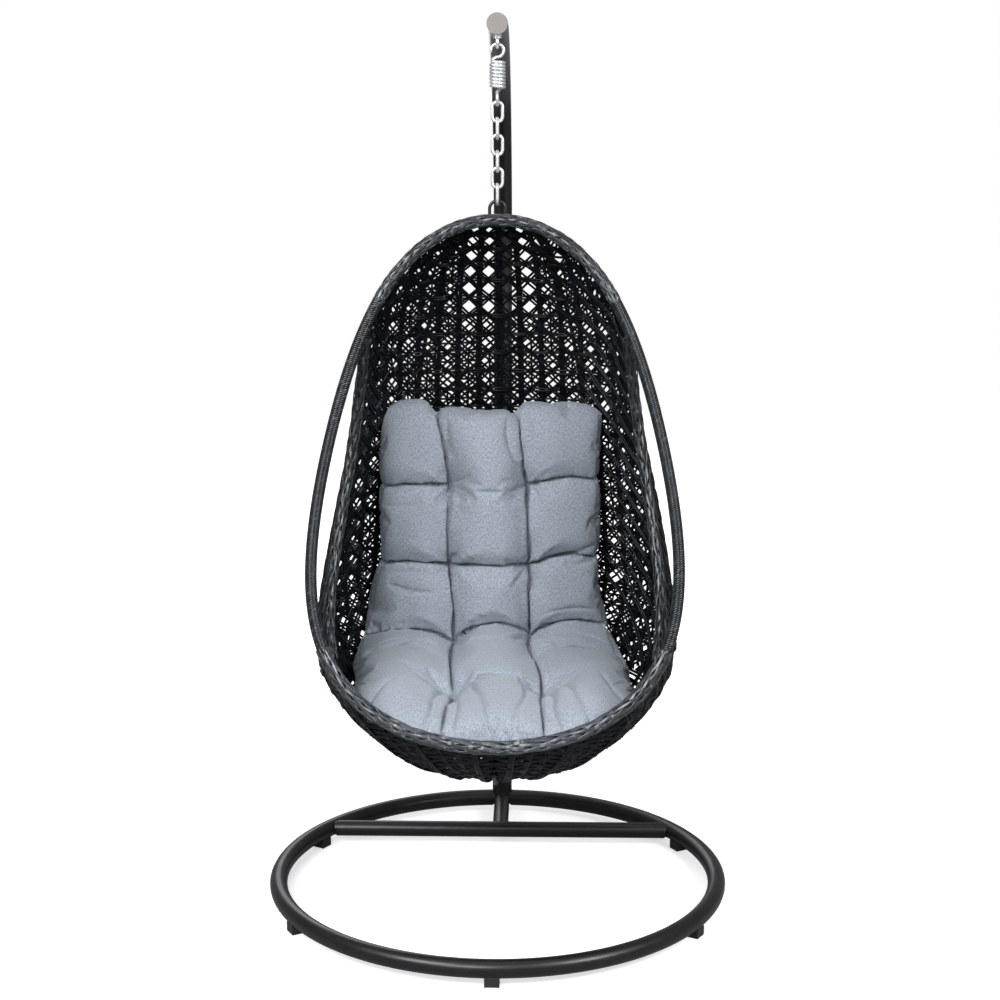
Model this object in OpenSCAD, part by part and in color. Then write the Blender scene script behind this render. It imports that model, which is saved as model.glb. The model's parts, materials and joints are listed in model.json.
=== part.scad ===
// Hanging egg chair: a woven, open-fronted basket with a tufted cushion, hung by a spring and a
// chain from a bent tube stand. Millimetres, +Z up, -Y is the open front of the basket.
// The origin is on the floor, at the middle of the whole footprint.

/* [Stand] */
// Mean radius of the floor ring
ring_r = 505; // [480:5:560]
// Diameter of the floor ring's tube
ring_tube_d = 40; // [36:1:44]
// Height of a foot from the floor to the ring's underside
foot_h = 15; // [12:1:30]
// Width of a foot
foot_w = 32; // [24:1:34]
// Number of feet, the first one at the front
foot_count = 6; // [4:2:8]
// Diameter of the cross bar and of the spine tube
bar_d = 38; // [30:1:39]
// Distance of the cross bar behind the ring's middle
bar_y = 281; // [240:1:330]
// Length of the bare stub between the ring and each end of the cross bar
stub_reach = 5; // [2:1:12]
// Outer diameter of the pole
pole_d = 45; // [40:0.5:46]
// Wall of every steel tube
tube_wall = 2; // [1.5:0.1:2.6]
// Length of the pole socket above the ring's middle
socket_l = 140; // [110:5:200]
// How far the pole bows out behind the ring's mean radius
pole_bow = 95; // [80:1:110]
// Height of the arch's middle line above the floor, at the hanging point
arm_z = 1954; // [1900:1:2050]
// Distance of the arch's open end in front of the hanging point
arm_reach = 30; // [28:1:60]
// Length of the sleeve inside the pole's joint
sleeve_l = 160; // [100:5:240]

/* [Eye bolt, spring and chain] */
// Diameter of the eye's wire
eye_wire_d = 7.5; // [6:0.25:9]
// Inner radius of the eye
eye_in_r = 6.5; // [5.5:0.25:8]
// Height of the eye bolt's collar
collar_h = 8; // [5:0.5:12]
// Diameter of the eye bolt's stem
stem_d = 10; // [8:1:12]
// Diameter of the spring's wire
spring_wire_d = 6.6; // [5:0.2:6.6]
// Mean radius of the spring's coil
coil_r = 14.7; // [13:0.1:18]
// Rise of the coil in one turn
coil_pitch = 7.2; // [7.2:0.1:9]
// Number of turns in the coil
coil_turns = 7.5; // [4.5:1:12.5]
// Mean radius of the spring's two hooks
hook_r = 13.7; // [12:0.1:15]
// Free height between each hook's wire and the coil
hook_lift = 9.5; // [8:0.5:14]
// Diameter of the chain's wire
link_wire_d = 7; // [5:0.5:7]
// Inner length of a chain link
link_in_l = 35; // [30:1:45]
// Inner width of a chain link
link_in_w = 15.2; // [15:0.1:20]
// Diameter of the hanging loop's rod
loop_rod_d = 7.2; // [6:0.2:8]
// Mean radius of the hanging loop's arch
loop_r = 16.9; // [14:0.1:22]
// Height of the hanging loop's arch above the hoop's centre line
loop_stand = 40; // [34:1:70]

/* [Basket] */
// Height of the hoop from the front lip to the top
hoop_h = 1070; // [1000:5:1140]
// Distance of the front lip in front of the hanging point
hoop_reach = 380; // [360:1:400]
// Half-width that the hoop's egg outline is built on
hoop_half_w = 370; // [350:1:390]
// How far the outline swells towards its bottom
hoop_taper = 0.2575; // [0.22:0.0025:0.28]
// How full the outline is at its top and bottom
hoop_fullness = 0.2535; // [0.22:0.0025:0.28]
// Diameter of the hoop's steel tube
hoop_tube_d = 19; // [16:0.5:20]
// Outer diameter of the wrap round the hoop
wrap_d = 25.4; // [24:0.2:28]
// Diameter of the wrapped rail along each side opening
rail_d = 24; // [18:0.5:25]
// Height above the lip where each side opening starts
gap_low = 155; // [130:1:190]
// Height above the lip where each side opening ends
gap_high = 813; // [770:1:850]
// How far the shell's edge steps inwards from the hoop at a side opening
gap_in = 44; // [36:1:54]
// How far the shell's edge steps back from the hoop at a side opening
gap_back = 100; // [85:1:115]
// Thickness of the woven shell
shell_t = 5; // [4:0.5:6]
// Height of the shell's widest level above the lip
belly_h = 229; // [219:1:239]
// Half-width of the shell
belly_half_w = 382; // [374:1:390]
// Reach of the shell behind its middle
belly_back = 330; // [320:1:345]
// Reach of the shell's curve in front of its middle
belly_front = 452; // [440:1:465]
// Height of the shell's curve above its widest level
belly_up = 876; // [866:1:886]
// Depth of the shell's curve below its widest level
belly_down = 403; // [395:1:415]
// Squareness of the shell's curve, where 2 is an ellipse
belly_power = 2.19; // [2.14:0.01:2.24]
// Diameter of the steel ribs behind the shell
rib_d = 9; // [7:0.5:11]

/* [Cushion] */
// Thickness of the cushion between its seams and tufts
cushion_t = 112; // [90:1:116]
// Half-width of the back part
cushion_back_half_w = 252; // [230:1:256]
// Half-width of the seat part
cushion_seat_half_w = 284; // [260:1:286]
// Length of the back part's straight run
cushion_back_l = 450; // [400:5:460]
// Radius of the bend between back and seat
cushion_bend_r = 150; // [130:5:160]
// Length of the seat part's straight run
cushion_seat_l = 388; // [340:4:388]
// Depth of a sewn tuft
tuft_depth = 34; // [15:1:40]

/* [Hidden] */

$fn = 64;
black = [0.09, 0.09, 0.10];
rattan = [0.13, 0.13, 0.14];
zinc = [0.80, 0.81, 0.82];
taupe = [0.42, 0.39, 0.36];
linen = [0.55, 0.60, 0.67];

seat_gap = 0.3;      // between pieces that are welded, tied or pressed together
slip = 0.2;          // radial room of one tube or bolt inside another
wire_gap = 0.05;     // between a hanging wire and the wire that carries it
eps = 1;             // overlap of cutting tools

// ---- Stand ----
ring_tube_r = ring_tube_d / 2;
ring_z = foot_h + ring_tube_r;
bar_r = bar_d / 2;
bar_half_l = sqrt(pow(ring_r, 2) - pow(bar_y, 2));
stub_in = 80;
pole_r = pole_d / 2;
pole_in_r = pole_r - tube_wall;
socket_in_r = pole_r + slip;
socket_r = socket_in_r + tube_wall;
// The hanging point lies in front of the footprint's middle by half of what the pole bows out
hang_y = -(pole_bow + pole_r - ring_tube_r) / 2;
// The pole leans back from the ring to the arch, whose middle is straight below the hanging
// point's own height, and touches the arch's circle
arch_r = ring_r + pole_bow;
arch_z = arm_z - arch_r;
ring_to_arch = norm([ring_r, arch_z - ring_z]);
pole_lean = atan2(arch_z - ring_z, ring_r) - acos(arch_r / ring_to_arch);
lean_l = sqrt(pow(ring_to_arch, 2) - pow(arch_r, 2));
arch_end = asin(arm_reach / arch_r);
joint_up = lean_l * 0.5;
foot_bite = ring_tube_r / 2;
foot_sink = 6;
foot_screw_r = 3;
foot_head_r = 6;
foot_head_h = 3;
foot_screw_l = foot_h + foot_bite + 8 - foot_sink;
socket_low_z = foot_h + foot_bite;
pole_foot_up = 4;
bolt_r = 4;
bolt_head_r = 7;
bolt_head_h = 5;
bolt_bite = 6;
socket_bolt_up = [socket_l * 0.35, socket_l * 0.8];
joint_bolt_up = [joint_up - sleeve_l / 4, joint_up + sleeve_l / 4];
cap_t = 2.5;
cap_plug_l = 14;

// ---- Eye bolt, spring and chain, from the arm downwards ----
arm_under_z = arm_z - pole_r;
collar_r = 9;
collar_z = arm_under_z - seat_gap - collar_h;
eye_wire_r = eye_wire_d / 2;
eye_mean_r = eye_in_r + eye_wire_r;
eye_z = collar_z + eye_wire_r / 2 - eye_mean_r;
stem_r = stem_d / 2;
washer_r = stem_r + 5;
washer_t = 2;
washer_z = arm_z - sqrt(pow(pole_in_r, 2) - pow(washer_r, 2)) + seat_gap;
nut_r = stem_d * 0.98;
nut_h = stem_d * 0.8;
spring_wire_r = spring_wire_d / 2;
hook_top_z = eye_z - eye_mean_r + eye_wire_r + spring_wire_r + wire_gap;
top_hook_z = hook_top_z - hook_r;
coil_top_z = top_hook_z - hook_r - hook_lift;
coil_low_z = coil_top_z - coil_pitch * coil_turns;
low_hook_z = coil_low_z - hook_lift - hook_r;
link_wire_r = link_wire_d / 2;
link_bow_r = link_in_w / 2 + link_wire_r;
link_step = link_in_l - wire_gap;
link_1_top_z = low_hook_z - hook_r + spring_wire_r + link_wire_r + wire_gap;
link_count = 6;
function link_top_z(i) = link_1_top_z - (i - 1) * link_step;
loop_rod_r = loop_rod_d / 2;
loop_top_z = link_top_z(link_count) - link_in_l - link_wire_r + loop_rod_r + wire_gap;
loop_leg_drop = 16;

// ---- Hoop and shell ----
wrap_r = wrap_d / 2;
rail_r = rail_d / 2;
rib_r = rib_d / 2;
hoop_top_z = loop_top_z - loop_stand;
lip_z = hoop_top_z - hoop_h;
hoop_top_y = -(loop_rod_r + seat_gap + wrap_r);
hoop_steps = 72;
hoop_sides = 8;
rail_steps = 28;
shell_loops = 56;
shell_rows = 24;
rib_sides = 6;
side_rib_turn = 36;
side_rib_ends = [9, 160];
side_rib_rows = 48;

// The hoop's centre line: an egg outline in a plane that leans forward down to the lip
function hoop_y(z) = hoop_top_y - (hoop_top_z - z) / hoop_h * (hoop_reach + hoop_top_y);
function hoop_pt(u) = let (z = lip_z + hoop_h / 2 * (1 + cos(u)))
    [hoop_half_w * sin(u) * (1 - hoop_taper * cos(u) + hoop_fullness * pow(cos(u), 2)),
     hoop_y(z), z];
// 0 outside a side opening, 1 at its middle
function gap_share(z) = let (t = (z - lip_z - gap_low) / (gap_high - gap_low))
    t <= 0 || t >= 1 ? 0 : 4 * t * (1 - t);
// The shell's edge line: on the hoop, or stepped in and back beside a side opening
function edge_pt(u) = let (p = hoop_pt(u), b = gap_share(p[2]))
    [p[0] - sign(p[0]) * gap_in * b, p[1] + gap_back * b, p[2]];
belly = [0, -belly_back / 11, lip_z + belly_h];
// Distance from the belly's middle to its curved surface in the direction d
function belly_reach(d) =
    pow(pow(abs(d[0]) / belly_half_w, belly_power)
      + pow(abs(d[1]) / (d[1] > 0 ? belly_back : belly_front), belly_power)
      + pow(abs(d[2]) / (d[2] > 0 ? belly_up : belly_down), belly_power), -1 / belly_power);
// How far back the belly's curved surface lies at the place [x, z], above its widest level
function belly_y(x, z) = belly[1] + belly_back * pow(1 - pow(abs(x) / belly_half_w, belly_power)
    - pow((z - belly[2]) / belly_up, belly_power), 1 / belly_power);
// A point of the shell: u goes round the edge, s from the edge (0) to the middle of the back
// (1), and out moves it outwards along the ray from the belly's middle
function shell_pt(u, s, out = 0) =
    let (e = edge_pt(u) - belly, len = norm(e), d = e / len,
         round_y = atan2(d[0], d[2]), turn = acos(d[1]) * (1 - s),
         ray = [sin(turn) * sin(round_y), cos(turn), sin(turn) * cos(round_y)],
         fit = 1 + (len / belly_reach(d) - 1) * pow(1 - s, 2))
    belly + ray * (belly_reach(ray) * fit + out);
// Direction square to the shell, pointing outwards
function shell_out(u, s) = unit(cross(shell_pt(u + 1, s) - shell_pt(u - 1, s),
    shell_pt(u, s + 0.01) - shell_pt(u, s - 0.01)));
// Share of the way to the back's middle at which the shell starts: clear of hoop and rail, and
// at the top also clear of the hanging loop's legs
edge_room = 1.08 * (wrap_r + seat_gap) + shell_t / 4;
leg_room = 2 * (loop_rod_r + seat_gap) + shell_t;
function shell_start(u) =
    let (e = edge_pt(u) - belly, len = norm(e),
         legs = e[2] > 0 ? leg_room * exp(-pow(e[0] / (2 * loop_r), 2)) : 0)
    (edge_room + legs) / (len * acos(e[1] / len) * PI / 180);
function shell_s(u, j) = let (s = shell_start(u)) s + (1 - s) * j / shell_rows;

// ---- Cushion ----
// The back's straight middle line starts above the bend and ends at the wall, less its room there
bend_from = [0.52645 * belly_back, lip_z + 0.71633 * belly_h];
cushion_rise = 0.998 * cushion_back_l;
back_room = 0.07604 * cushion_t;
cushion_top_y = belly_y(0.925 * cushion_back_half_w, bend_from[1] + cushion_rise) - back_room;
back_tilt = atan2(cushion_top_y - bend_from[0], cushion_rise);
cushion_top = bend_from + cushion_back_l * [sin(back_tilt), cos(back_tilt)];
seat_heading = 86;
bend_l = cushion_bend_r * (seat_heading - back_tilt) * PI / 180;
cushion_l = cushion_back_l + bend_l + cushion_seat_l;
cushion_cols = 16;
cushion_rows = 34;
seam_r = 3;
tuft_x = 0.3413 * cushion_back_half_w;
tuft_rows = [0.175, 0.375, 0.56, 0.75];
tuft_spread = 0.375 * cushion_t;
back_lift = 0.1151 * cushion_back_half_w;
side_lift = 0.0916 * cushion_seat_half_w;
nose_cut = 0.4226 * cushion_seat_half_w;
crown_cut = 0.0953 * cushion_back_half_w;

// ---- Helpers ----
function unit(v) = v / norm(v);
// Rings of a tube along a path: each ring lies square to the path, and its first corner is
// turned towards the side vector of that point
function tube_rings(path, r, sides, side, closed = false) = let (n = len(path)) [
    for (i = [0 : n - 1])
        let (a = path[closed ? (i + n - 1) % n : max(i - 1, 0)],
             b = path[closed ? (i + 1) % n : min(i + 1, n - 1)],
             t = unit(b - a), w0 = is_list(side[0]) ? side[i] : side,
             w = unit(w0 - t * (w0 * t)), v = cross(t, w))
        for (k = [0 : sides - 1])
            let (g = 360 * k / sides) path[i] + r * (cos(g) * w + sin(g) * v)];
function ring_faces(rings, sides, closed) = [
    for (i = [0 : rings - (closed ? 1 : 2)], k = [0 : sides - 1])
        let (j = (i + 1) % rings, m = (k + 1) % sides)
        each [[i * sides + k, j * sides + k, j * sides + m],
              [i * sides + k, j * sides + m, i * sides + m]]];
function cap_faces(rings, sides) = let (last = (rings - 1) * sides) [
    for (k = [1 : sides - 2])
        each [[0, k, k + 1], [last, last + k + 1, last + k]]];
function flipped(faces, shift) = [for (f = faces) [f[2] + shift, f[1] + shift, f[0] + shift]];
module tube_along(path, r, sides, side) {
    polyhedron(tube_rings(path, r, sides, side),
        concat(ring_faces(len(path), sides, false), cap_faces(len(path), sides)));
}
module tube_loop(path, r, sides, side) {
    polyhedron(tube_rings(path, r, sides, side, true), ring_faces(len(path), sides, true));
}
module sleeve_along(path, r_out, r_in, sides, side) {
    outer = tube_rings(path, r_out, sides, side);
    inner = tube_rings(path, r_in, sides, side);
    skin = ring_faces(len(path), sides, false);
    count = len(outer);
    last = count - sides;
    ends = [for (k = [0 : sides - 1]) let (m = (k + 1) % sides)
        each [[k, m, count + m], [k, count + m, count + k],
              [last + m, last + k, count + last + k],
              [last + m, count + last + k, count + last + m]]];
    polyhedron(concat(outer, inner), concat(skin, flipped(skin, count), ends));
}
module torus(mean_r, r) {
    rotate_extrude() translate([mean_r, 0]) circle(r);
}
// Turns a drawing in the XY plane up into the YZ plane
module upright() {
    rotate([90, 0, 90]) children();
}
// Moves a piece from the hanging point's own axes to the footprint's middle
module hung() {
    translate([0, hang_y, 0]) children();
}

// ---- Stand pieces ----
// Places its children on the pole's straight leaning part with their +Z along it, at a
// distance measured up from the ring's middle line
module on_lean(up) {
    translate([0, ring_r, ring_z]) rotate([-pole_lean, 0, 0]) translate([0, 0, up]) children();
}
module socket_hole() {
    on_lean(-foot_h - ring_tube_r) cylinder(h = socket_l, r = socket_r + seat_gap);
}
module at_feet() {
    for (i = [0 : foot_count - 1])
        rotate(i * 360 / foot_count) translate([0, -ring_r, 0]) children();
}
module foot_screw_holes() {
    at_feet() cylinder(h = foot_sink + foot_screw_l + eps, r = foot_screw_r + slip);
}
module base_ring() {
    color(black) hung() difference() {
        translate([0, 0, ring_z]) torus(ring_r, ring_tube_r);
        translate([0, 0, ring_z]) torus(ring_r, ring_tube_r - tube_wall);
        socket_hole();
        at_feet() cylinder(h = ring_z, r = foot_screw_r + slip);
    }
}
module bar_along_x(half_l, r) {
    translate([0, bar_y, ring_z]) rotate([0, 90, 0])
        cylinder(h = 2 * half_l, r = r, center = true);
}
module cross_bar() {
    color(black) hung() difference() {
        bar_along_x(bar_half_l, bar_r);
        bar_along_x(bar_half_l + eps, bar_r - tube_wall);
        translate([0, 0, ring_z]) torus(ring_r, ring_tube_r + stub_reach);
    }
}
module bar_stubs() {
    color(black) hung() difference() {
        bar_along_x(bar_half_l, bar_r - tube_wall - slip);
        bar_along_x(bar_half_l - stub_in, bar_r);
        translate([0, 0, ring_z]) torus(ring_r, ring_tube_r + seat_gap);
    }
}
module spine_tube() {
    color(black) hung() difference() {
        translate([0, bar_y, ring_z]) rotate([-90, 0, 0])
            cylinder(h = ring_r - bar_y, r = bar_r);
        translate([0, bar_y - eps, ring_z]) rotate([-90, 0, 0])
            cylinder(h = ring_r - bar_y + 2 * eps, r = bar_r - tube_wall);
        bar_along_x(bar_d, bar_r + seat_gap);
        translate([0, 0, ring_z]) torus(ring_r, ring_tube_r + seat_gap);
        socket_hole();
    }
}
module feet() {
    color(black) hung() difference() {
        at_feet() translate([-foot_w / 2, -foot_w / 2, 0])
            cube([foot_w, foot_w, foot_h + foot_bite]);
        difference() {
            translate([0, 0, ring_z]) torus(ring_r, ring_tube_r + seat_gap);
            translate([0, ring_r, -eps]) cylinder(h = socket_l, r = foot_w);
        }
        at_feet() translate([0, 0, -eps]) cylinder(h = foot_sink + eps, r = foot_head_r + eps);
        foot_screw_holes();
    }
}
module feet_screws() {
    color(zinc) hung() at_feet() translate([0, 0, foot_sink - foot_head_h]) {
        cylinder(h = foot_head_h, r = foot_head_r);
        cylinder(h = foot_head_h + foot_screw_l, r = foot_screw_r);
    }
}
module rear_bolt_holes() {
    for (up = concat(socket_bolt_up, joint_bolt_up)) on_lean(up) rotate([-90, 0, 0])
        cylinder(h = 2 * socket_r, r = bolt_r + slip);
}
module pole_socket() {
    color(black) hung() difference() {
        on_lean(-ring_tube_r) cylinder(h = ring_tube_r + socket_l, r = socket_r);
        on_lean(pole_foot_up) cylinder(h = 2 * socket_l, r = socket_in_r);
        translate([0, ring_r, socket_low_z - foot_w]) cube(2 * foot_w, center = true);
        rear_bolt_holes();
        foot_screw_holes();
    }
}
module pole_lower() {
    color(black) hung() difference() {
        on_lean(pole_foot_up) cylinder(h = joint_up - seat_gap / 2 - pole_foot_up, r = pole_r);
        on_lean(0) cylinder(h = joint_up + eps, r = pole_in_r);
        rear_bolt_holes();
    }
}
module tube_section(r) {
    difference() {
        circle(r);
        circle(r - tube_wall);
    }
}
module pole_upper() {
    color(black) hung() difference() {
        translate([0, 0, arch_z]) rotate([-pole_lean, 0, 0]) upright() {
            rotate_extrude(angle = 90 + pole_lean + arch_end) translate([arch_r, 0])
                tube_section(pole_r);
            translate([arch_r, 0, 0]) rotate([90, 0, 0])
                linear_extrude(lean_l - joint_up - seat_gap / 2) tube_section(pole_r);
        }
        rear_bolt_holes();
        translate([0, 0, arm_z - 2 * pole_r]) cylinder(h = 2 * pole_r, r = stem_r + slip);
    }
}
module pole_sleeve() {
    color(black) hung() difference() {
        on_lean(joint_up - sleeve_l / 2) cylinder(h = sleeve_l, r = pole_in_r - slip);
        on_lean(joint_up - sleeve_l / 2 - eps)
            cylinder(h = sleeve_l + 2 * eps, r = pole_in_r - slip - tube_wall);
        rear_bolt_holes();
    }
}
module bolt_from_rear(seat_y, shank) {
    translate([0, seat_y + seat_gap, 0]) rotate([90, 0, 0]) {
        cylinder(h = shank, r = bolt_r);
        translate([0, 0, -bolt_head_h]) cylinder(h = bolt_head_h, r = bolt_head_r, $fn = 6);
    }
}
module pole_bolts() {
    color(black) hung() {
        for (up = socket_bolt_up) on_lean(up)
            bolt_from_rear(socket_r, socket_r - pole_in_r + bolt_bite);
        for (up = joint_bolt_up) on_lean(up)
            bolt_from_rear(pole_r, 2 * tube_wall + bolt_bite);
    }
}
module pole_end_cap() {
    color(taupe) hung() translate([0, 0, arch_z]) rotate([arch_end, 0, 0])
        translate([0, 0, arch_r]) {
            rotate([90, 0, 0]) cylinder(h = cap_t, r = pole_r);
            rotate([-90, 0, 0]) cylinder(h = cap_plug_l, r = pole_in_r - 2 * slip);
        }
}

// ---- Eye bolt, spring and chain pieces ----
module eye_bolt() {
    color(zinc) hung() {
        translate([0, 0, eye_z]) rotate([0, 90, 0]) torus(eye_mean_r, eye_wire_r);
        translate([0, 0, collar_z]) cylinder(h = collar_h, r = collar_r, $fn = 6);
        translate([0, 0, collar_z])
            cylinder(h = washer_z + washer_t + nut_h + 2 - collar_z, r = stem_r);
    }
}
module eye_nut() {
    color(zinc) hung() difference() {
        translate([0, 0, washer_z]) {
            cylinder(h = washer_t, r = washer_r);
            translate([0, 0, washer_t]) cylinder(h = nut_h, r = nut_r, $fn = 6);
        }
        cylinder(h = arm_z + pole_r, r = stem_r + slip);
    }
}
// A smooth curve from p to q that leaves along dp and arrives along dq
function eased(p, dp, q, dq, steps) = [for (i = [1 : steps - 1]) let (t = i / steps)
    p * (2 * pow(t, 3) - 3 * pow(t, 2) + 1) + dp * (pow(t, 3) - 2 * pow(t, 2) + t)
    + q * (3 * pow(t, 2) - 2 * pow(t, 3)) + dq * (pow(t, 3) - pow(t, 2))];
function blended(a, b, steps) = [for (i = [1 : steps - 1]) a + (b - a) * i / steps];
curl_rings = 8;
curl_sides = 6;
hook_sweep = 270;
hook_rings = 9;
ease_rings = 7;
ease_pull = 20;
coil_from = 225;
coil_to = coil_from + 360 * coil_turns;
coil_rings = round(curl_rings * coil_turns);
function coil_pt(a, z) = [coil_r * cos(a), coil_r * sin(a), z];
function coil_way(a) = [-sin(a), cos(a), 0] * ease_pull;
top_hook = [for (i = [0 : hook_rings]) let (g = hook_sweep - 90 - hook_sweep * i / hook_rings)
    [hook_r * cos(g), 0, top_hook_z + hook_r * sin(g)]];
low_hook = [for (i = [0 : hook_rings]) let (g = 90 + hook_sweep * i / hook_rings)
    [0, hook_r * cos(g), low_hook_z + hook_r * sin(g)]];
coil = [for (i = [0 : coil_rings]) let (t = i / coil_rings)
    coil_pt(coil_from + (coil_to - coil_from) * t, coil_top_z + (coil_low_z - coil_top_z) * t)];
spring_path = concat(
    [top_hook[0] - [0, 0, spring_wire_d]], top_hook,
    eased(top_hook[hook_rings], [-ease_pull, 0, 0], coil[0], coil_way(coil_from), ease_rings),
    coil,
    eased(coil[coil_rings], coil_way(coil_to), low_hook[0], [0, -ease_pull, 0], ease_rings),
    low_hook, [low_hook[hook_rings] + [0, 0, spring_wire_d]]);
spring_side = concat(
    [for (i = [0 : hook_rings + 1]) [0, -1, 0]],
    blended([0, -1, 0], [0, 0, 1], ease_rings),
    [for (i = [0 : coil_rings]) [0, 0, 1]],
    blended([0, 0, 1], [-1, 0, 0], ease_rings),
    [for (i = [0 : hook_rings + 1]) [-1, 0, 0]]);
// Least distance between points of the wire at least half a curl apart, less its diameter
spring_gap = min([for (i = [0 : len(spring_path) - 1])
    for (j = [i + curl_rings / 2 : 1 : len(spring_path) - 1])
        norm(spring_path[i] - spring_path[j])]) - spring_wire_d;
echo(spring_gap = spring_gap);
module spring() {
    color(zinc) hung() tube_along(spring_path, spring_wire_r, curl_sides, spring_side);
}
module half_bow(bow_r, wire_r) {
    rotate([90, 0, 0]) rotate_extrude(angle = 180) translate([bow_r, 0]) circle(wire_r);
}
module chain_link(i) {
    straight = link_in_l - link_in_w;
    mid_z = link_top_z(i) - link_wire_r - link_in_l / 2;
    color(zinc) hung() translate([0, 0, mid_z]) rotate(i % 2 == 0 ? 90 : 0) {
        for (side = [-1, 1]) translate([side * link_bow_r, 0, 0])
            cylinder(h = straight, r = link_wire_r, center = true);
        for (turn = [0, 180]) rotate([0, turn, 0])
            translate([0, 0, straight / 2]) half_bow(link_bow_r, link_wire_r);
    }
}
module hanging_loop() {
    leg_top = loop_top_z - loop_r;
    leg_low = hoop_top_z - loop_leg_drop;
    color(black) hung() {
        translate([0, 0, leg_top]) half_bow(loop_r, loop_rod_r);
        for (side = [-1, 1]) translate([side * loop_r, 0, leg_low])
            cylinder(h = leg_top - leg_low, r = loop_rod_r);
    }
}

// ---- Basket pieces ----
hoop_path = [for (i = [0 : hoop_steps - 1]) hoop_pt(360 * i / hoop_steps)];
module hoop_frame() {
    color(black) hung() tube_loop(hoop_path, hoop_tube_d / 2, hoop_sides, [0, 1, 0]);
}
// The wrap starts and ends at the lip, with a slit between its two ends
wrap_slit = 0.1;
wrap_path = [for (i = [0 : hoop_steps])
    hoop_pt(180 + (i == 0 ? wrap_slit : i == hoop_steps ? 360 - wrap_slit : 360 * i / hoop_steps))];
module hoop_wrap() {
    color(rattan) hung()
        sleeve_along(wrap_path, wrap_r, hoop_tube_d / 2 + seat_gap, hoop_sides, [0, 1, 0]);
}
// Share of a side opening's height over which its rail would still touch the hoop
rail_share = 1.08 * (wrap_r + rail_r + seat_gap) / norm([gap_in, gap_back]);
rail_trim = (1 - sqrt(1 - rail_share)) / 2;
function hoop_turn(above_lip) = acos(2 * above_lip / hoop_h - 1);
rail_from = hoop_turn(gap_high - rail_trim * (gap_high - gap_low));
rail_to = hoop_turn(gap_low + rail_trim * (gap_high - gap_low));
rail_path = [for (i = [0 : rail_steps]) edge_pt(rail_from + (rail_to - rail_from) * i / rail_steps)];
module side_rail_right() {
    color(rattan) hung() tube_along(rail_path, rail_r, hoop_sides, [0, 1, 0]);
}
module side_rail_left() {
    mirror([1, 0, 0]) side_rail_right();
}
function shell_skin(out) = concat(
    [for (j = [0 : shell_rows - 1], i = [0 : shell_loops - 1])
        let (u = 360 * i / shell_loops) shell_pt(u, shell_s(u, j), out)],
    [shell_pt(0, 1, out)]);
module woven_shell() {
    last = (shell_rows - 1) * shell_loops;
    count = last + shell_loops + 1;
    net = concat(ring_faces(shell_rows, shell_loops, false),
        [for (k = [0 : shell_loops - 1]) [last + k, count - 1, last + (k + 1) % shell_loops]]);
    rim = [for (k = [0 : shell_loops - 1]) let (m = (k + 1) % shell_loops)
        each [[k, m, count + m], [k, count + m, count + k]]];
    color(rattan) hung() polyhedron(concat(shell_skin(shell_t / 2), shell_skin(-shell_t / 2)),
        concat(net, flipped(net, count), rim));
}
rib_room = 1;
side_rib_room = 1.6;
// Points of a rib that follows the shell's outside: each place is [u, s]
function rib_path(places, room) = [for (p = places)
    shell_pt(p[0], p[1]) + shell_out(p[0], p[1])
        * (shell_t / 2 + rib_r * cos(180 / rib_sides) + room)];
rib_rows = [0.2, for (j = [1 : shell_rows - 1]) j, shell_rows - 0.5];
centre_places = concat(
    [for (j = rib_rows) [0, shell_s(0, j)]],
    [for (i = [len(rib_rows) - 1 : -1 : 0]) [180, shell_s(180, rib_rows[i])]]);
// The place [u, s] of the shell that lies in the direction d from the belly's middle
function edge_turn(u) = let (e = edge_pt(u) - belly) atan2(e[0], e[2]);
function edge_at(turn, low = 0, high = 180, tries = 30) = let (mid = (low + high) / 2)
    tries == 0 ? mid
    : edge_turn(mid) < turn ? edge_at(turn, mid, high, tries - 1)
    : edge_at(turn, low, mid, tries - 1);
function place_at(d) = let (u = edge_at(atan2(d[0], d[2])), e = edge_pt(u) - belly)
    [u, 1 - acos(d[1]) / acos(e[1] / norm(e))];
side_places = [for (i = [0 : side_rib_rows])
    let (down = side_rib_ends[0] + (side_rib_ends[1] - side_rib_ends[0]) * i / side_rib_rows)
    place_at([sin(side_rib_turn) * sin(down), cos(side_rib_turn) * sin(down), cos(down)])];
module back_rib_centre() {
    color(black) hung() tube_along(rib_path(centre_places, rib_room), rib_r, rib_sides,
        [1, 0, 0]);
}
module back_rib_right() {
    color(black) hung() tube_along(rib_path(side_places, side_rib_room), rib_r, rib_sides,
        [1, 0, 0]);
}
module back_rib_left() {
    mirror([1, 0, 0]) back_rib_right();
}

// ---- Cushion ----
// The cushion's middle line: place in the YZ plane and heading, 0 down and 90 forward
bend_centre = bend_from + cushion_bend_r * [-cos(back_tilt), sin(back_tilt)];
function heading(d) = d < cushion_back_l ? back_tilt
    : d > cushion_back_l + bend_l ? seat_heading
    : back_tilt + (seat_heading - back_tilt) * (d - cushion_back_l) / bend_l;
function cushion_line(d) = let (h = heading(d))
    d < cushion_back_l ? cushion_top - d * [sin(h), cos(h)]
    : bend_centre - cushion_bend_r * [-cos(h), sin(h)]
      - max(0, d - cushion_back_l - bend_l) * [sin(h), cos(h)];
function smooth(t) = let (c = min(max(t, 0), 1)) c * c * (3 - 2 * c);
function seat_share(d) = smooth((d - cushion_back_l) / bend_l);
function cushion_half_w(d) = cushion_back_half_w
    + (cushion_seat_half_w - cushion_back_half_w) * seat_share(d);
function pillow(x, power) = sqrt(max(0, 1 - pow(abs(x), power)));
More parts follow.
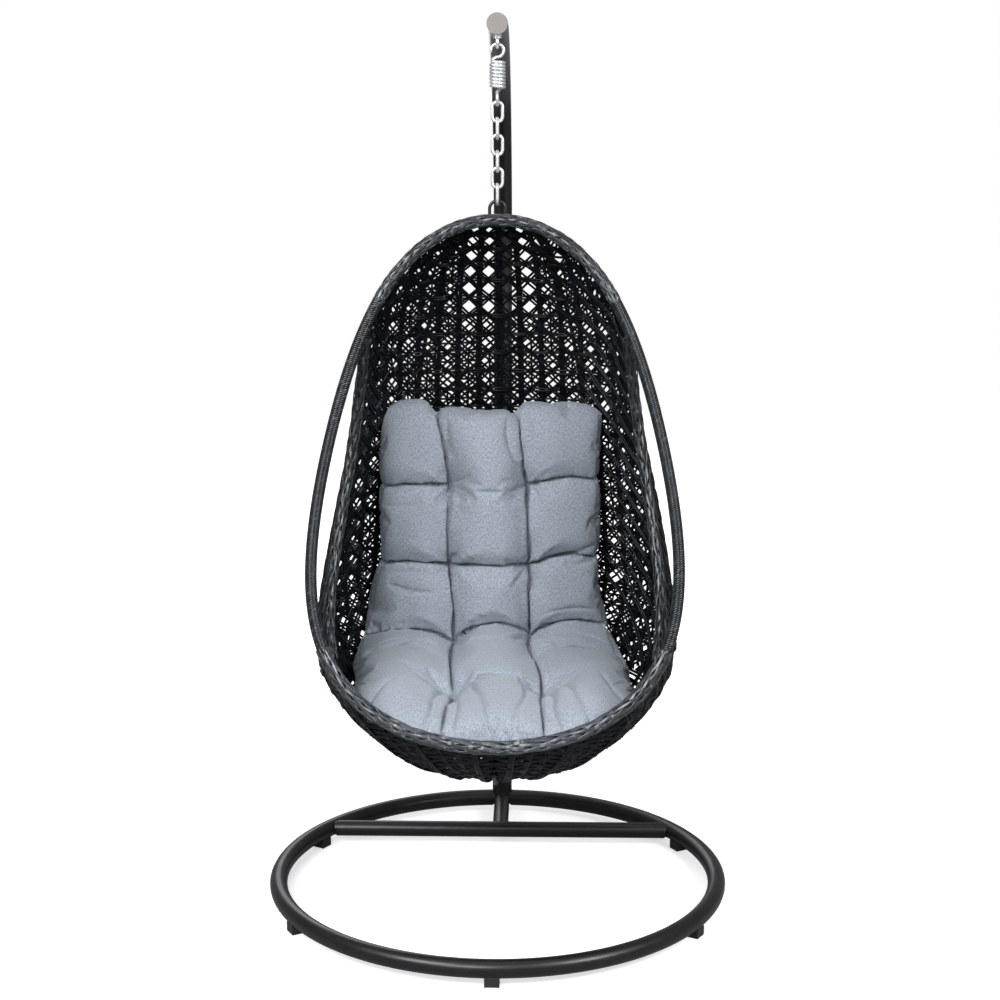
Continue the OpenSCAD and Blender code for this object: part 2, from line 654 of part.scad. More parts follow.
// How deep the sewn tufts pull the front in, from 0 to 1
function tufting(x, d) = min(1, [for (row = tuft_rows, col = [-tuft_x, tuft_x])
        exp(-(pow(x - col, 2) + pow(d - row * cushion_l, 2)) / (2 * pow(tuft_spread, 2)))]
    * [for (row = tuft_rows, col = [-1, 1]) 1]);
// A point of the cushion: a goes across (-1 to 1), v along (0 at the top to 1 at the front)
function cushion_pt(a, v, face) = let (
    from = crown_cut * pow(a, 4), to = cushion_l - nose_cut * pow(abs(a), 3),
    d = from + (to - from) * v, x = a * cushion_half_w(d), h = heading(d),
    mid = cushion_line(d), soft = pillow(a, 5) * pillow(2 * v - 1, 14),
    full = seam_r + (cushion_t / 2 - seam_r) * soft,
    off = back_lift * pow(a, 2) * (1 - smooth(d / cushion_back_l)) + side_lift * pow(a, 4)
        * seat_share(d)
        + (face > 0 ? full - tuft_depth * tufting(x, d) * soft : -full))
    [x, mid[0] - off * cos(h), mid[1] + off * sin(h)];
cushion_a = [for (i = [0 : cushion_cols]) sin(90 * (2 * i / cushion_cols - 1))];
cushion_v = [for (j = [0 : cushion_rows]) let (t = j / cushion_rows)
    0.55 * t + 0.45 * (1 - cos(180 * t)) / 2];
module cushion() {
    cols = cushion_cols + 1;
    count = cols * (cushion_rows + 1);
    front = [for (v = cushion_v, a = cushion_a) cushion_pt(a, v, 1)];
    rear = [for (v = cushion_v, a = cushion_a) cushion_pt(a, v, -1)];
    net = [for (j = [0 : cushion_rows - 1], i = [0 : cushion_cols - 1])
        let (p = j * cols + i)
        each [[p, p + 1, p + cols + 1], [p, p + cols + 1, p + cols]]];
    last = cushion_rows * cols;
    across = [for (i = [0 : cushion_cols - 1])
        each [[i + 1, i, count + i], [i + 1, count + i, count + i + 1],
              [last + i, last + i + 1, count + last + i + 1],
              [last + i, count + last + i + 1, count + last + i]]];
    along = [for (j = [0 : cushion_rows - 1])
        let (p = j * cols, q = p + cushion_cols)
        each [[p, p + cols, count + p + cols], [p, count + p + cols, count + p],
              [q + cols, q, count + q], [q + cols, count + q, count + q + cols]]];
    color(linen) hung()
        polyhedron(concat(front, rear), concat(net, flipped(net, count), across, along));
}

base_ring();
cross_bar();
bar_stubs();
spine_tube();
feet();
feet_screws();
pole_socket();
pole_lower();
pole_sleeve();
pole_upper();
pole_bolts();
pole_end_cap();
eye_bolt();
eye_nut();
spring();
chain_link(1);  // chain_link_1
chain_link(2);  // chain_link_2
chain_link(3);  // chain_link_3
chain_link(4);  // chain_link_4
chain_link(5);  // chain_link_5
chain_link(6);  // chain_link_6
hanging_loop();
hoop_frame();
hoop_wrap();
side_rail_left();
side_rail_right();
woven_shell();
back_rib_centre();
back_rib_left();
back_rib_right();
cushion();
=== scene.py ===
"""Hanging egg chair: a woven basket with a tufted cushion, hung by a spring and a chain from a bent
tube stand.

Metres, +Z up, -Y is the open front of the basket. Curved pieces are worked out with numpy on grids or
along paths.
"""
import json
import math

import bpy
import numpy as np
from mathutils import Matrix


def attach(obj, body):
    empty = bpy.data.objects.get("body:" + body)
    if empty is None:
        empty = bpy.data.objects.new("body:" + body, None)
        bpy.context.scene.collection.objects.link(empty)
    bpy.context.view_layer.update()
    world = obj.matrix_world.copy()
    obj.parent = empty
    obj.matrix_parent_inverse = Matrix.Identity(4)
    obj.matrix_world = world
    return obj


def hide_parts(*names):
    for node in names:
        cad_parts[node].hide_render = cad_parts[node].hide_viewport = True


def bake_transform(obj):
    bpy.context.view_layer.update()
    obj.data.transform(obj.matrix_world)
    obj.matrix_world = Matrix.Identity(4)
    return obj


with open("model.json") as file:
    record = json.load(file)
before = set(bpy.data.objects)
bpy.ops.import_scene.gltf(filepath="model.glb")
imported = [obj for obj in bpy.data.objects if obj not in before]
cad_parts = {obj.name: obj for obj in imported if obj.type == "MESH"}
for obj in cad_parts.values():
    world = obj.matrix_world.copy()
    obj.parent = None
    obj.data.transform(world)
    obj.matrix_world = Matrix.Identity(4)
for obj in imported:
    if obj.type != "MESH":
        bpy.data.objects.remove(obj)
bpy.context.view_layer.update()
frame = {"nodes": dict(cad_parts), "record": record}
nodes = frame["nodes"]
scene = bpy.context.scene
rng = np.random.default_rng(7)

# ---------------------------------------------------------------- camera
HANG_Y = -0.04875
CAMERA_AWAY, CAMERA_HEIGHT = 4.27, 1.805
CAMERA_TURN, CAMERA_PAN, CAMERA_DIP = 1.35, -0.075, 11.7
camera_data = bpy.data.cameras.new("camera")
camera_data.lens = 70.4
camera_data.sensor_width = 36
camera = bpy.data.objects.new("camera", camera_data)
scene.collection.objects.link(camera)
camera.location = (CAMERA_AWAY * math.sin(math.radians(CAMERA_TURN)),
                   HANG_Y - CAMERA_AWAY * math.cos(math.radians(CAMERA_TURN)), CAMERA_HEIGHT)
camera.rotation_euler = (math.radians(90 - CAMERA_DIP), 0, math.radians(CAMERA_TURN + CAMERA_PAN))
scene.camera = camera

# ---------------------------------------------------------------- sizes, as in the part's source
LIP_Z = 0.471125
HOOP_H, HOOP_TOP_Y, HOOP_REACH = 1.07, -0.0166, 0.38
HOOP_HALF_W, HOOP_TAPER, HOOP_FULLNESS = 0.37, 0.2575, 0.2535
GAP_LOW, GAP_HIGH, GAP_IN, GAP_BACK = 0.14, 0.865, 0.049, 0.1
BELLY = np.array([0.0, -0.03, LIP_Z + 0.229])
BELLY_HALF_W, BELLY_BACK, BELLY_FRONT = 0.382, 0.33, 0.452
BELLY_UP, BELLY_DOWN, BELLY_POWER = 0.876, 0.403, 2.19
SHELL_T = 0.005
FINE_STEPS = 1441


def hung(points):
    """Points given from the hanging point's foot, moved to their place in the frame."""
    return points + np.array([0.0, HANG_Y, 0.0])


def unit(v):
    """Each vector divided by its length."""
    return v / np.maximum(np.linalg.norm(v, axis=-1, keepdims=True), 1e-12)


def smooth(t):
    """0 below 0, 1 above 1, and 3t^2 - 2t^3 between."""
    t = np.clip(t, 0, 1)
    return t * t * (3 - 2 * t)


def hoop_line(u):
    """Egg outline in a plane that leans forward: height falls with cos u, width is sin u times a swelling
    share."""
    c, s = np.cos(u), np.sin(u)
    z = LIP_Z + HOOP_H / 2 * (1 + c)
    y = HOOP_TOP_Y - (LIP_Z + HOOP_H - z) / HOOP_H * (HOOP_REACH + HOOP_TOP_Y)
    return np.stack([HOOP_HALF_W * s * (1 - HOOP_TAPER * c + HOOP_FULLNESS * c * c), y, z], -1)


def edge_line(u):
    """The hoop's line, stepped in and back beside a side opening by a parabola of the height."""
    p = hoop_line(u)
    t = np.clip((p[..., 2] - LIP_Z - GAP_LOW) / (GAP_HIGH - GAP_LOW), 0, 1)
    b = 4 * t * (1 - t)
    return np.stack([p[..., 0] - np.sign(p[..., 0]) * GAP_IN * b, p[..., 1] + GAP_BACK * b, p[..., 2]], -1)


def belly_reach(d):
    """Distance from the belly's middle to a squarish ellipsoid with its own half-axis in each direction."""
    p = BELLY_POWER
    back = np.where(d[..., 1] > 0, BELLY_BACK, BELLY_FRONT)
    up = np.where(d[..., 2] > 0, BELLY_UP, BELLY_DOWN)
    return ((np.abs(d[..., 0]) / BELLY_HALF_W) ** p + (np.abs(d[..., 1]) / back) ** p
            + (np.abs(d[..., 2]) / up) ** p) ** (-1 / p)


edge_u = np.linspace(0, math.pi, FINE_STEPS)
edge_ray = edge_line(edge_u) - BELLY
edge_len = np.linalg.norm(edge_ray, axis=-1)
edge_turn = np.arctan2(np.abs(edge_ray[:, 0]), edge_ray[:, 2])
edge_open = np.arccos(edge_ray[:, 1] / edge_len)
edge_fit = edge_len / belly_reach(edge_ray / edge_len[:, None]) - 1


def wall_place(d):
    """For directions d from the belly's middle: the wall's point, and the share of the way from the edge
    (0) to the back's middle (1). Near the edge the ellipsoid is stretched to meet the edge line."""
    turn = np.arctan2(np.abs(d[..., 0]), d[..., 2])
    share = 1 - np.arccos(np.clip(d[..., 1], -1, 1)) / np.interp(turn, edge_turn, edge_open)
    fit = 1 + np.interp(turn, edge_turn, edge_fit) * np.clip(1 - share, 0, 1.15) ** 2
    return BELLY + d * (belly_reach(d) * fit)[..., None], share


def directions(around, up):
    """Unit vectors at angle around from the back (positive to the right) and angle up from the horizon."""
    around, up = np.broadcast_arrays(around, up)
    return np.stack([np.sin(around) * np.cos(up), np.cos(around) * np.cos(up), np.sin(up)], -1)


# ---------------------------------------------------------------- the wall's chart
# Width of a column at the widest ring and rise of a row.
COLUMN, ROW = 0.054, 0.0462
# Numbers of rings and of columns in the chart, and of angles round and up in the table that it is made
# from.
CHART_T, CHART_C = 420, 641
AROUND, UP = 361, 721
BEHIND = AROUND // 2


def make_chart():
    """Rows are level rings, an equal way apart along the back's middle line; columns are equal shares of
    each ring's length to both sides of the back's middle. Returns each row's way up, places, normals,
    shares and half lengths."""
    around = np.linspace(-math.pi, math.pi, AROUND)
    up = np.linspace(-math.pi / 2 + 1e-4, math.pi / 2 - 1e-4, UP)
    table, _ = wall_place(directions(around[:, None], up[None, :]))
    middle = table[BEHIND]
    way = np.concatenate([[0], np.cumsum(np.linalg.norm(np.diff(middle, axis=0), axis=-1))])
    top = way[np.searchsorted(middle[:, 2], LIP_Z + HOOP_H - 0.004) - 1]
    rows = np.linspace(0.012, top, CHART_T)
    levels = np.interp(rows, way, middle[:, 2])
    rings = np.zeros((CHART_T, AROUND, 3))
    for i in range(AROUND):
        at = np.interp(levels, np.maximum.accumulate(table[i, :, 2]), up)
        rings[:, i], _ = wall_place(directions(np.full(CHART_T, around[i]), at))
    steps = np.linalg.norm(np.diff(rings, axis=1), axis=-1)
    arc = np.concatenate([np.zeros((CHART_T, 1)), np.cumsum(steps, axis=1)], axis=1)
    arc -= arc[:, BEHIND:BEHIND + 1]
    half = arc[:, -1]
    columns = np.linspace(-1, 1, CHART_C)
    places = np.zeros((CHART_T, CHART_C, 3))
    for j in range(CHART_T):
        for k in range(3):
            places[j, :, k] = np.interp(columns * half[j], arc[j], rings[j, :, k])
    normals = unit(np.cross(np.gradient(places, axis=1), np.gradient(places, axis=0)))
    normals *= np.sign(((places - BELLY) * normals).sum(-1, keepdims=True))
    _, shares = wall_place(unit(places - BELLY))
    return rows, places, normals, shares, half


chart_rows, chart_places, chart_normals, chart_shares, chart_half = make_chart()
# The widest ring's half length and its way up, and the way up of the highest ring.
HALF_MOST = chart_half.max()
ROW_MOST = chart_rows[chart_half.argmax()]
WAY_TOP = chart_rows[-1]


def look_up(grid, t, c):
    """Value of a chart grid at way up t and column share c, straight between the four nearest grid
    points."""
    i = np.clip((t - chart_rows[0]) / (chart_rows[1] - chart_rows[0]), 0, CHART_T - 1.001)
    j = np.clip((c + 1) / 2 * (CHART_C - 1), 0, CHART_C - 1.001)
    i0, j0 = i.astype(int), j.astype(int)
    a, b = i - i0, j - j0
    if grid.ndim == 3:
        a, b = a[..., None], b[..., None]
    return ((1 - a) * (1 - b) * grid[i0, j0] + (1 - a) * b * grid[i0, j0 + 1]
            + a * (1 - b) * grid[i0 + 1, j0] + a * b * grid[i0 + 1, j0 + 1])


def column_share(t, k):
    """Column number k at way up t as a share of the ring. Columns are a fixed width apart at the widest
    ring, run together below it as the rings close, and draw a little nearer above it."""
    half = np.interp(t, chart_rows, chart_half)
    narrow = half / HALF_MOST
    width = COLUMN * np.where(t < ROW_MOST, narrow, narrow ** 0.35)
    return k * width / half


# ---------------------------------------------------------------- meshes
def make_mesh(name, points, faces, marks=None, cloth=None):
    """A mesh object from an array of points and an array of faces, with point attributes and a UV map if
    given."""
    mesh = bpy.data.meshes.new(name)
    faces = np.asarray(faces, np.int32)
    mesh.vertices.add(len(points))
    mesh.vertices.foreach_set("co", np.asarray(points, np.float32).ravel())
    mesh.loops.add(faces.size)
    mesh.loops.foreach_set("vertex_index", faces.ravel())
    mesh.polygons.add(len(faces))
    mesh.polygons.foreach_set("loop_start", np.arange(len(faces), dtype=np.int32) * faces.shape[1])
    mesh.polygons.foreach_set("use_smooth", np.ones(len(faces), bool))
    for key, values in (marks or {}).items():
        layer = mesh.attributes.new(key, "FLOAT", "POINT")
        layer.data.foreach_set("value", np.asarray(values, np.float32).ravel())
    if cloth is not None:
        layer = mesh.uv_layers.new(name="cloth")
        layer.data.foreach_set("uv", np.asarray(cloth, np.float32)[faces.ravel()].ravel())
    mesh.update(calc_edges=True)
    mesh.validate()
    obj = bpy.data.objects.new(name, mesh)
    scene.collection.objects.link(obj)
    return obj


def grid_quads(index):
    """Quads between the neighbours in a grid of point numbers."""
    return np.stack([index[:-1, :-1], index[:-1, 1:], index[1:, 1:], index[1:, :-1]], -1).reshape(-1, 4)


def tubes(path, side, out, half_wide, half_thick, sides, present=None):
    """Tubes along many paths at once: each ring is an ellipse on the directions side and out round a path
    point. Paths are (strand, sample, xyz). Where present is false there is no tube, and it closes to a
    point there. The points carry the way along their strand and a tone that is one random number for each
    strand."""
    count, length = path.shape[:2]
    if present is None:
        present = np.ones((count, length), bool)
        present[:, 0] = present[:, -1] = False
    angle = 2 * math.pi * np.arange(sides) / sides
    size = present[..., None, None]
    ring = (path[:, :, None] + size * (np.cos(angle)[:, None] * side[:, :, None] * half_wide
                                       + np.sin(angle)[:, None] * out[:, :, None] * half_thick))
    index = np.arange(count * length * sides).reshape(count, length, sides)
    nxt = np.roll(index, -1, axis=2)
    quads = np.stack([index[:, :-1], index[:, 1:], nxt[:, 1:], nxt[:, :-1]], -1)
    keep = (present[:, :-1] | present[:, 1:])
    quads = quads[keep].reshape(-1, 4)
    used = np.unique(quads)
    fresh = np.full(count * length * sides, -1)
    fresh[used] = np.arange(len(used))
    step = np.linalg.norm(np.diff(path, axis=1), axis=-1)
    along = np.concatenate([np.zeros((count, 1)), np.cumsum(step, axis=1)], axis=1)
    along = along + rng.uniform(0, 3, (count, 1))
    tone = np.broadcast_to(rng.uniform(0, 1, (count, 1)), along.shape)
    marks = {"along": np.repeat(along[..., None], sides, 2).ravel()[used],
             "tone": np.repeat(tone[..., None], sides, 2).ravel()[used]}
    return ring.reshape(-1, 3)[used], fresh[quads], marks


def joined(parts):
    """Several results of tubes() as one."""
    points, faces, marks, start = [], [], {}, 0
    for p, f, m in parts:
        points.append(p)
        faces.append(f + start)
        start += len(p)
        for key, values in m.items():
            marks.setdefault(key, []).append(values)
    return np.concatenate(points), np.concatenate(faces), {k: np.concatenate(v) for k, v in marks.items()}


def path_frames(path, out):
    """Side directions square to each path and to the given outward directions, and the outward ones made
    square."""
    way = unit(np.gradient(path, axis=1))
    side = unit(np.cross(way, out))
    return side, unit(np.cross(side, way))


# ---------------------------------------------------------------- shader maths
class Value:
    """A shader socket that can be used in sums; each sum adds its Math node."""

    def __init__(self, shading, socket):
        self.shading, self.socket = shading, socket

    def math(self, operation, a, b):
        return self.shading.node("Math", {"operation": operation}, {0: a, 1: b})

    def __add__(self, other): return self.math("ADD", self, other)
    def __radd__(self, other): return self.math("ADD", other, self)
    def __sub__(self, other): return self.math("SUBTRACT", self, other)
    def __rsub__(self, other): return self.math("SUBTRACT", other, self)
    def __mul__(self, other): return self.math("MULTIPLY", self, other)
    def __rmul__(self, other): return self.math("MULTIPLY", other, self)


class Shading:
    """A tree of shader nodes, all made by one method."""

    def __init__(self, tree):
        self.tree = tree

    def node(self, kind, settings=None, inputs=None, out=0):
        """A shader node of that type: its settings first, then its sockets' values or links."""
        made = self.tree.nodes.new("ShaderNode" + kind)
        for key, value in (settings or {}).items():
            setattr(made, key, value)
        for key, value in (inputs or {}).items():
            self.feed(made.inputs[key], value)
        return Value(self, made.outputs[out])

    def feed(self, socket, value):
        """Links a value to a socket, or writes a plain number or colour into it."""
        if isinstance(value, Value):
            self.tree.links.new(value.socket, socket)
        else:
            socket.default_value = value

    def spread(self, value, low, high, to_low=0.0, to_high=1.0):
        """A value from low to high carried to another range, held at its ends."""
        return self.node("MapRange", {}, {0: value, 1: low, 2: high, 3: to_low, 4: to_high})


class Finish(Shading):
    """A material on the object's own coordinates."""

    def __init__(self, name):
        self.material = bpy.data.materials.new(name)
        self.material.use_nodes = True
        super().__init__(self.material.node_tree)
        self.shader = self.tree.nodes["Principled BSDF"]
        self.place = self.node("TexCoord", out="Object")

    def surface(self, **sockets):
        """Feeds the Principled shader's sockets, whose names are written with underscores."""
        for name, value in sockets.items():
            self.feed(self.shader.inputs[name.replace("_", " ")], value)
        return self.material

    def axis(self, number):
        """One coordinate of the place: 0 across, 1 fore and aft, 2 up."""
        return self.node("SeparateXYZ", {}, {0: self.place}, out=number)

    def noise(self, scale, detail=3.0, rough=0.5, place=None):
        """Cloudy noise, at the object's place if no other is given."""
        return self.node("TexNoise", {}, {"Vector": place or self.place, "Scale": scale, "Detail": detail,
                                          "Roughness": rough})

    def stretched(self, x, y, z, place=None):
        """The place with each direction scaled on its own."""
        return self.node("Mapping", {}, {"Vector": place or self.place, "Scale": (x, y, z)})

    def attribute(self, name):
        """A number that the mesh carries at each point."""
        return self.node("Attribute", {"attribute_name": name}, out="Fac")

    def mix(self, share, a, b):
        """Colour a turning into colour b."""
        a = (*a, 1) if isinstance(a, tuple) else a
        b = (*b, 1) if isinstance(b, tuple) else b
        return self.node("Mix", {"data_type": "RGBA"}, {0: share, 6: a, 7: b}, out=2)

    def bump(self, height, depth, strength):
        """Normals of a height from 0 to 1 that stands depth high."""
        return self.node("Bump", {}, {"Height": height, "Distance": depth, "Strength": strength})


def powder_coat():
    """Satin black coat: fine orange peel, dusty patches, and a painted reflection of the sky that turns it
    pale lavender-grey towards the arch's top.
    """
    f = Finish("black_powder_coat")
    peel = f.noise(420.0, 2.0)
    cloud = f.noise(9.0, 4.0, 0.6)
    dust = f.spread(f.noise(38.0, 5.0, 0.7), 0.5, 0.75)
    base = f.mix(cloud, (0.0026, 0.0024, 0.0026), (0.0075, 0.0066, 0.0068))
    # Painted reflection of the sky: the coat turns pale lavender-grey by height towards the arch's top.
    painted_sky_reflection = f.spread(f.axis(2), 1.76, 1.95) * (0.75 + 0.25 * cloud)
    base = f.mix(painted_sky_reflection, f.mix(dust * 0.14, base, (0.035, 0.033, 0.034)), (0.17, 0.165, 0.195))
    return f.surface(Base_Color=base, Specular_IOR_Level=0.45,
                     Roughness=0.33 + 0.1 * cloud + 0.1 * dust, Metallic=0.0,
                     Coat_Weight=0.28, Coat_Roughness=0.22, Normal=f.bump(peel, 0.0006, 0.7))


def zinc_plate():
    """Bright zinc: cloudy plating with fine scuffs."""
    f = Finish("zinc_plate")
    cloud = f.noise(60.0, 4.0, 0.6)
    scuff = f.noise(1.0, 3.0, 0.6, f.stretched(260.0, 260.0, 900.0))
    dull = f.spread(f.noise(22.0, 3.0), 0.45, 0.7)
    return f.surface(Base_Color=f.mix(dull, (0.90, 0.90, 0.91), (0.70, 0.71, 0.72)), Metallic=0.8,
                     Roughness=0.27 + 0.14 * cloud + 0.1 * dull, Normal=f.bump(scuff, 0.00012, 0.35))


def moulded_plastic(name, light, dark):
    """Moulded plastic with a fine grain and a little shine, dulled in places."""
    f = Finish(name)
    grain = f.noise(1400.0, 2.0)
    cloud = f.noise(45.0, 4.0, 0.6)
    return f.surface(Base_Color=f.mix(cloud, dark, light), Roughness=0.42 + 0.16 * cloud,
                     Normal=f.bump(grain, 0.00012, 0.4))


def rattan(name, dark, light, wear_and_highlight_colour, rough, streak=1.0, gloss=0.4, rubbed_and_highlit=False):
    """Extruded strand: each strand has its own shade, with long thin streaks and paler lengths, which stand
    for wearing and, on the lip, also for painted highlight.
    With the last flag set, the shade is paler and the pale lengths stronger towards the basket's middle
    plane: wearing and painted highlight together."""
    f = Finish(name)
    along, tone = f.attribute("along"), f.attribute("tone")
    reel = f.node("CombineXYZ", {}, {0: along, 1: tone * 37.0, 2: 0.0})
    lengths = f.noise(18.0, 3.0, 0.6, reel)
    fine = f.noise(1.0, 3.0, 0.6, f.stretched(900.0, 900.0, 900.0))
    shade = f.spread(tone * 0.55 + lengths * 0.75, 0.25, 0.95)
    wear_and_highlight = f.spread(f.noise(46.0, 4.0, 0.65, reel), 0.55, 0.8) * streak
    base = f.mix(shade, dark, light)
    # Paler and more streaked towards the middle plane, darker at the sides: wearing and painted highlight
    # together.
    if rubbed_and_highlit:
        across = f.axis(0)
        aside = f.spread(across * across, 0.012, 0.085)
        base = f.mix(aside * 0.62, base, dark)
        wear_and_highlight = wear_and_highlight * (1.0 - aside * 0.6)
    return f.surface(Base_Color=f.mix(wear_and_highlight, base, wear_and_highlight_colour), Roughness=rough + 0.14 * fine + 0.08 * wear_and_highlight,
                     Coat_Weight=gloss, Coat_Roughness=0.16, Specular_IOR_Level=0.15 + 0.5 * gloss,
                     Normal=f.bump(fine, 0.00018, 0.45))


def linen():
    """Plain weave of slubby grey-blue yarn on the cloth's own map, in metres: threads both ways, thick
    and thin."""
    f = Finish("grey_blue_linen")
    cloth = f.node("UVMap", {"uv_map": "cloth"})
    warp = f.noise(1.0, 3.0, 0.62, f.stretched(1050.0, 190.0, 1.0, cloth))
    weft = f.noise(1.0, 3.0, 0.62, f.stretched(190.0, 1050.0, 1.0, cloth))
    slub = f.noise(1.0, 2.0, 0.5, f.stretched(90.0, 520.0, 1.0, cloth))
    cloud = f.noise(14.0, 4.0, 0.6)
    yarn = {"Vector": cloth, "Scale": 330.0, "Distortion": 1.2, "Detail": 2.0, "Detail Scale": 2.0}
    yarn_u = f.node("TexWave", {"bands_direction": "X"}, yarn, out=1)
    yarn_v = f.node("TexWave", {"bands_direction": "Y"}, yarn, out=1)
    slack = f.noise(1.0, 2.0, 0.55, f.stretched(560.0, 170.0, 1.0, cloth))
    fleck = f.spread(warp * 0.36 + weft * 0.36 + slack * 0.28, 0.38, 0.6)
    pale = f.spread(slub, 0.52, 0.72) * 0.35
    base = f.mix(fleck, (0.108, 0.131, 0.168), (0.49, 0.525, 0.58))
    base = f.mix(pale, base, (0.60, 0.63, 0.67))
    base = f.mix(f.spread(cloud, 0.35, 0.7) * 0.16, base, (0.24, 0.28, 0.34))
    height = yarn_u * 0.35 + yarn_v * 0.35 + fleck * 0.6
    return f.surface(Base_Color=base, Roughness=0.86 + 0.1 * fleck, Sheen_Weight=0.25, Sheen_Roughness=0.45,
                     Normal=f.bump(height, 0.0006, 0.55))


steel = powder_coat()
zinc = zinc_plate()
taupe = moulded_plastic("taupe_cap", (0.275, 0.25, 0.225), (0.20, 0.18, 0.165))
foot_plastic = moulded_plastic("black_foot", (0.032, 0.031, 0.03), (0.018, 0.017, 0.017))
weave_finish = rattan("black_strand", dark=(0.001, 0.0012, 0.0016), light=(0.004, 0.005, 0.007),
                      wear_and_highlight_colour=(0.022, 0.027, 0.037), rough=0.3, streak=0.5, gloss=0.08)
top_finish = rattan("top_strand", dark=(0.006, 0.007, 0.008), light=(0.04, 0.043, 0.05),
                    wear_and_highlight_colour=(0.26, 0.26, 0.255), rough=0.24, streak=1.2, gloss=0.5)
rim_finish = rattan("rim_strand", dark=(0.003, 0.0035, 0.004), light=(0.018, 0.020, 0.024),
                    wear_and_highlight_colour=(0.15, 0.16, 0.155), rough=0.26)
# The lip's strands are paler than the rim's: wearing, and painted highlight of the light from above the
# front.
lip_finish = rattan("lip_strand", dark=(0.012, 0.0135, 0.016), light=(0.085, 0.09, 0.105),
                    wear_and_highlight_colour=(0.36, 0.36, 0.35), rough=0.24, streak=1.4, gloss=0.6, rubbed_and_highlit=True)
linen_finish = linen()

# ---------------------------------------------------------------- carried-over pieces
FINISHES = {"black_steel": steel, "zinc_steel": zinc, "taupe_plastic": taupe, "black_plastic": foot_plastic,
            "black_rattan": weave_finish, "blue_linen": linen_finish}
for part in frame["record"]["subparts"]:
    carried = nodes[part["node"]]
    carried.data.materials.clear()
    carried.data.materials.append(FINISHES[part["material_slot"]])


def finished(obj, material, slot, body, *stands_for):
    """Gives a new piece its material and its body, if it has one, and hides the CAD nodes it
    stands for. The slot argument is not used."""
    obj.data.materials.append(material)
    if stands_for:
        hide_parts(*stands_for)
    if body:
        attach(obj, body)
    return obj


# ---------------------------------------------------------------- woven wall
STRAND_R, UPRIGHT_R, UPRIGHT_FILLER_R = 0.0029, 0.0027, 0.0026
# How far the strands of one group lie apart sideways: uprights, levels, slants and the slants' fillers.
UPRIGHT_GAP, LEVEL_GAP, SLANT_GAP, FILLER_GAP = 0.0044, 0.0031, 0.0033, 0.0058
# How far they drift sideways: uprights, levels, slants, and the fillers of the first two.
UPRIGHT_DRIFT, LEVEL_DRIFT, SLANT_DRIFT, FILLER_DRIFT = 0.0014, 0.0024, 0.0034, 0.002
# How far apart the samples along a strand lie, and the number of columns to each side that reaches the
# front seam.
SAMPLE = 0.009
COLUMNS_ASIDE = 26
# Low on the basket the wall stands out by TAUT at every third column and sinks by SLACK from there between
# them. Above FOLD_TOP over the lip that fades away within FOLD_FADE.
MAIN_RIB_EVERY = 3
TAUT, SLACK = 0.0045, 0.0085
FOLD_TOP, FOLD_FADE = 0.12, 0.2
# Ways up: where the close weave under the seat ends, and where the fillers leave the middle of the back
# open. The fillers stay on beyond OPEN_COLUMNS.
LOW_WAY, FILL_WAY = 0.385, 1.19
OPEN_COLUMNS = 2.1
# The rise of a row in the close weave, as a share of the others'.
CLOSE_SHARE = 0.36
# Slanted strands to each side of the middle, and a way up beyond the wall's top.
SLANTS_ASIDE = 60
NO_END = 9.0


def weave(column, way, lift, across, radius, low, high, shown=True, sides=6):
    """Strands over the wall: column and way up are (strand, sample) arrays, lift is the distance outwards
    from the wall's middle surface and across the distance to the side. A strand shows between the ways
    low and high, and ends inside the rim. Low on the basket the wall folds outwards at every third column
    and inwards between them."""
    share = column_share(way, column)
    points, out = look_up(chart_places, way, share), unit(look_up(chart_normals, way, share))
    side, out = path_frames(points, out)
    rib = column / MAIN_RIB_EVERY - np.floor(column / MAIN_RIB_EVERY)
    fade = 1 - smooth((points[..., 2] - LIP_Z - FOLD_TOP) / FOLD_FADE)
    fold = (TAUT - SLACK * 4 * rib * (1 - rib)) * fade
    fold *= smooth((way - 0.05) / 0.1)
    points = points + out * (lift + fold)[..., None] + side * across[..., None]
    side, out = path_frames(points, out)
    inside = look_up(chart_shares, way, share) * np.interp(way, chart_rows, chart_half)
    present = (inside > 0.004) & (np.abs(share) <= 1) & (way > low) & (way < high) & shown
    present[:, 0] = present[:, -1] = False
    wanted = present.any(axis=1)
    return tubes(hung(points[wanted]), side[wanted], out[wanted], radius, radius, sides, present[wanted])


def wander(count, samples, amount):
    """Smooth random sideways drift of each strand, a sum of three slow waves."""
    t = np.linspace(0, 1, samples)[None, :]
    drift = np.zeros((count, samples))
    for waves in (2, 5, 9):
        wave = np.sin(2 * math.pi * waves * t + rng.uniform(0, 6.3, (count, 1)))
        drift += wave * rng.uniform(-1, 1, (count, 1))
    return drift * amount / 2


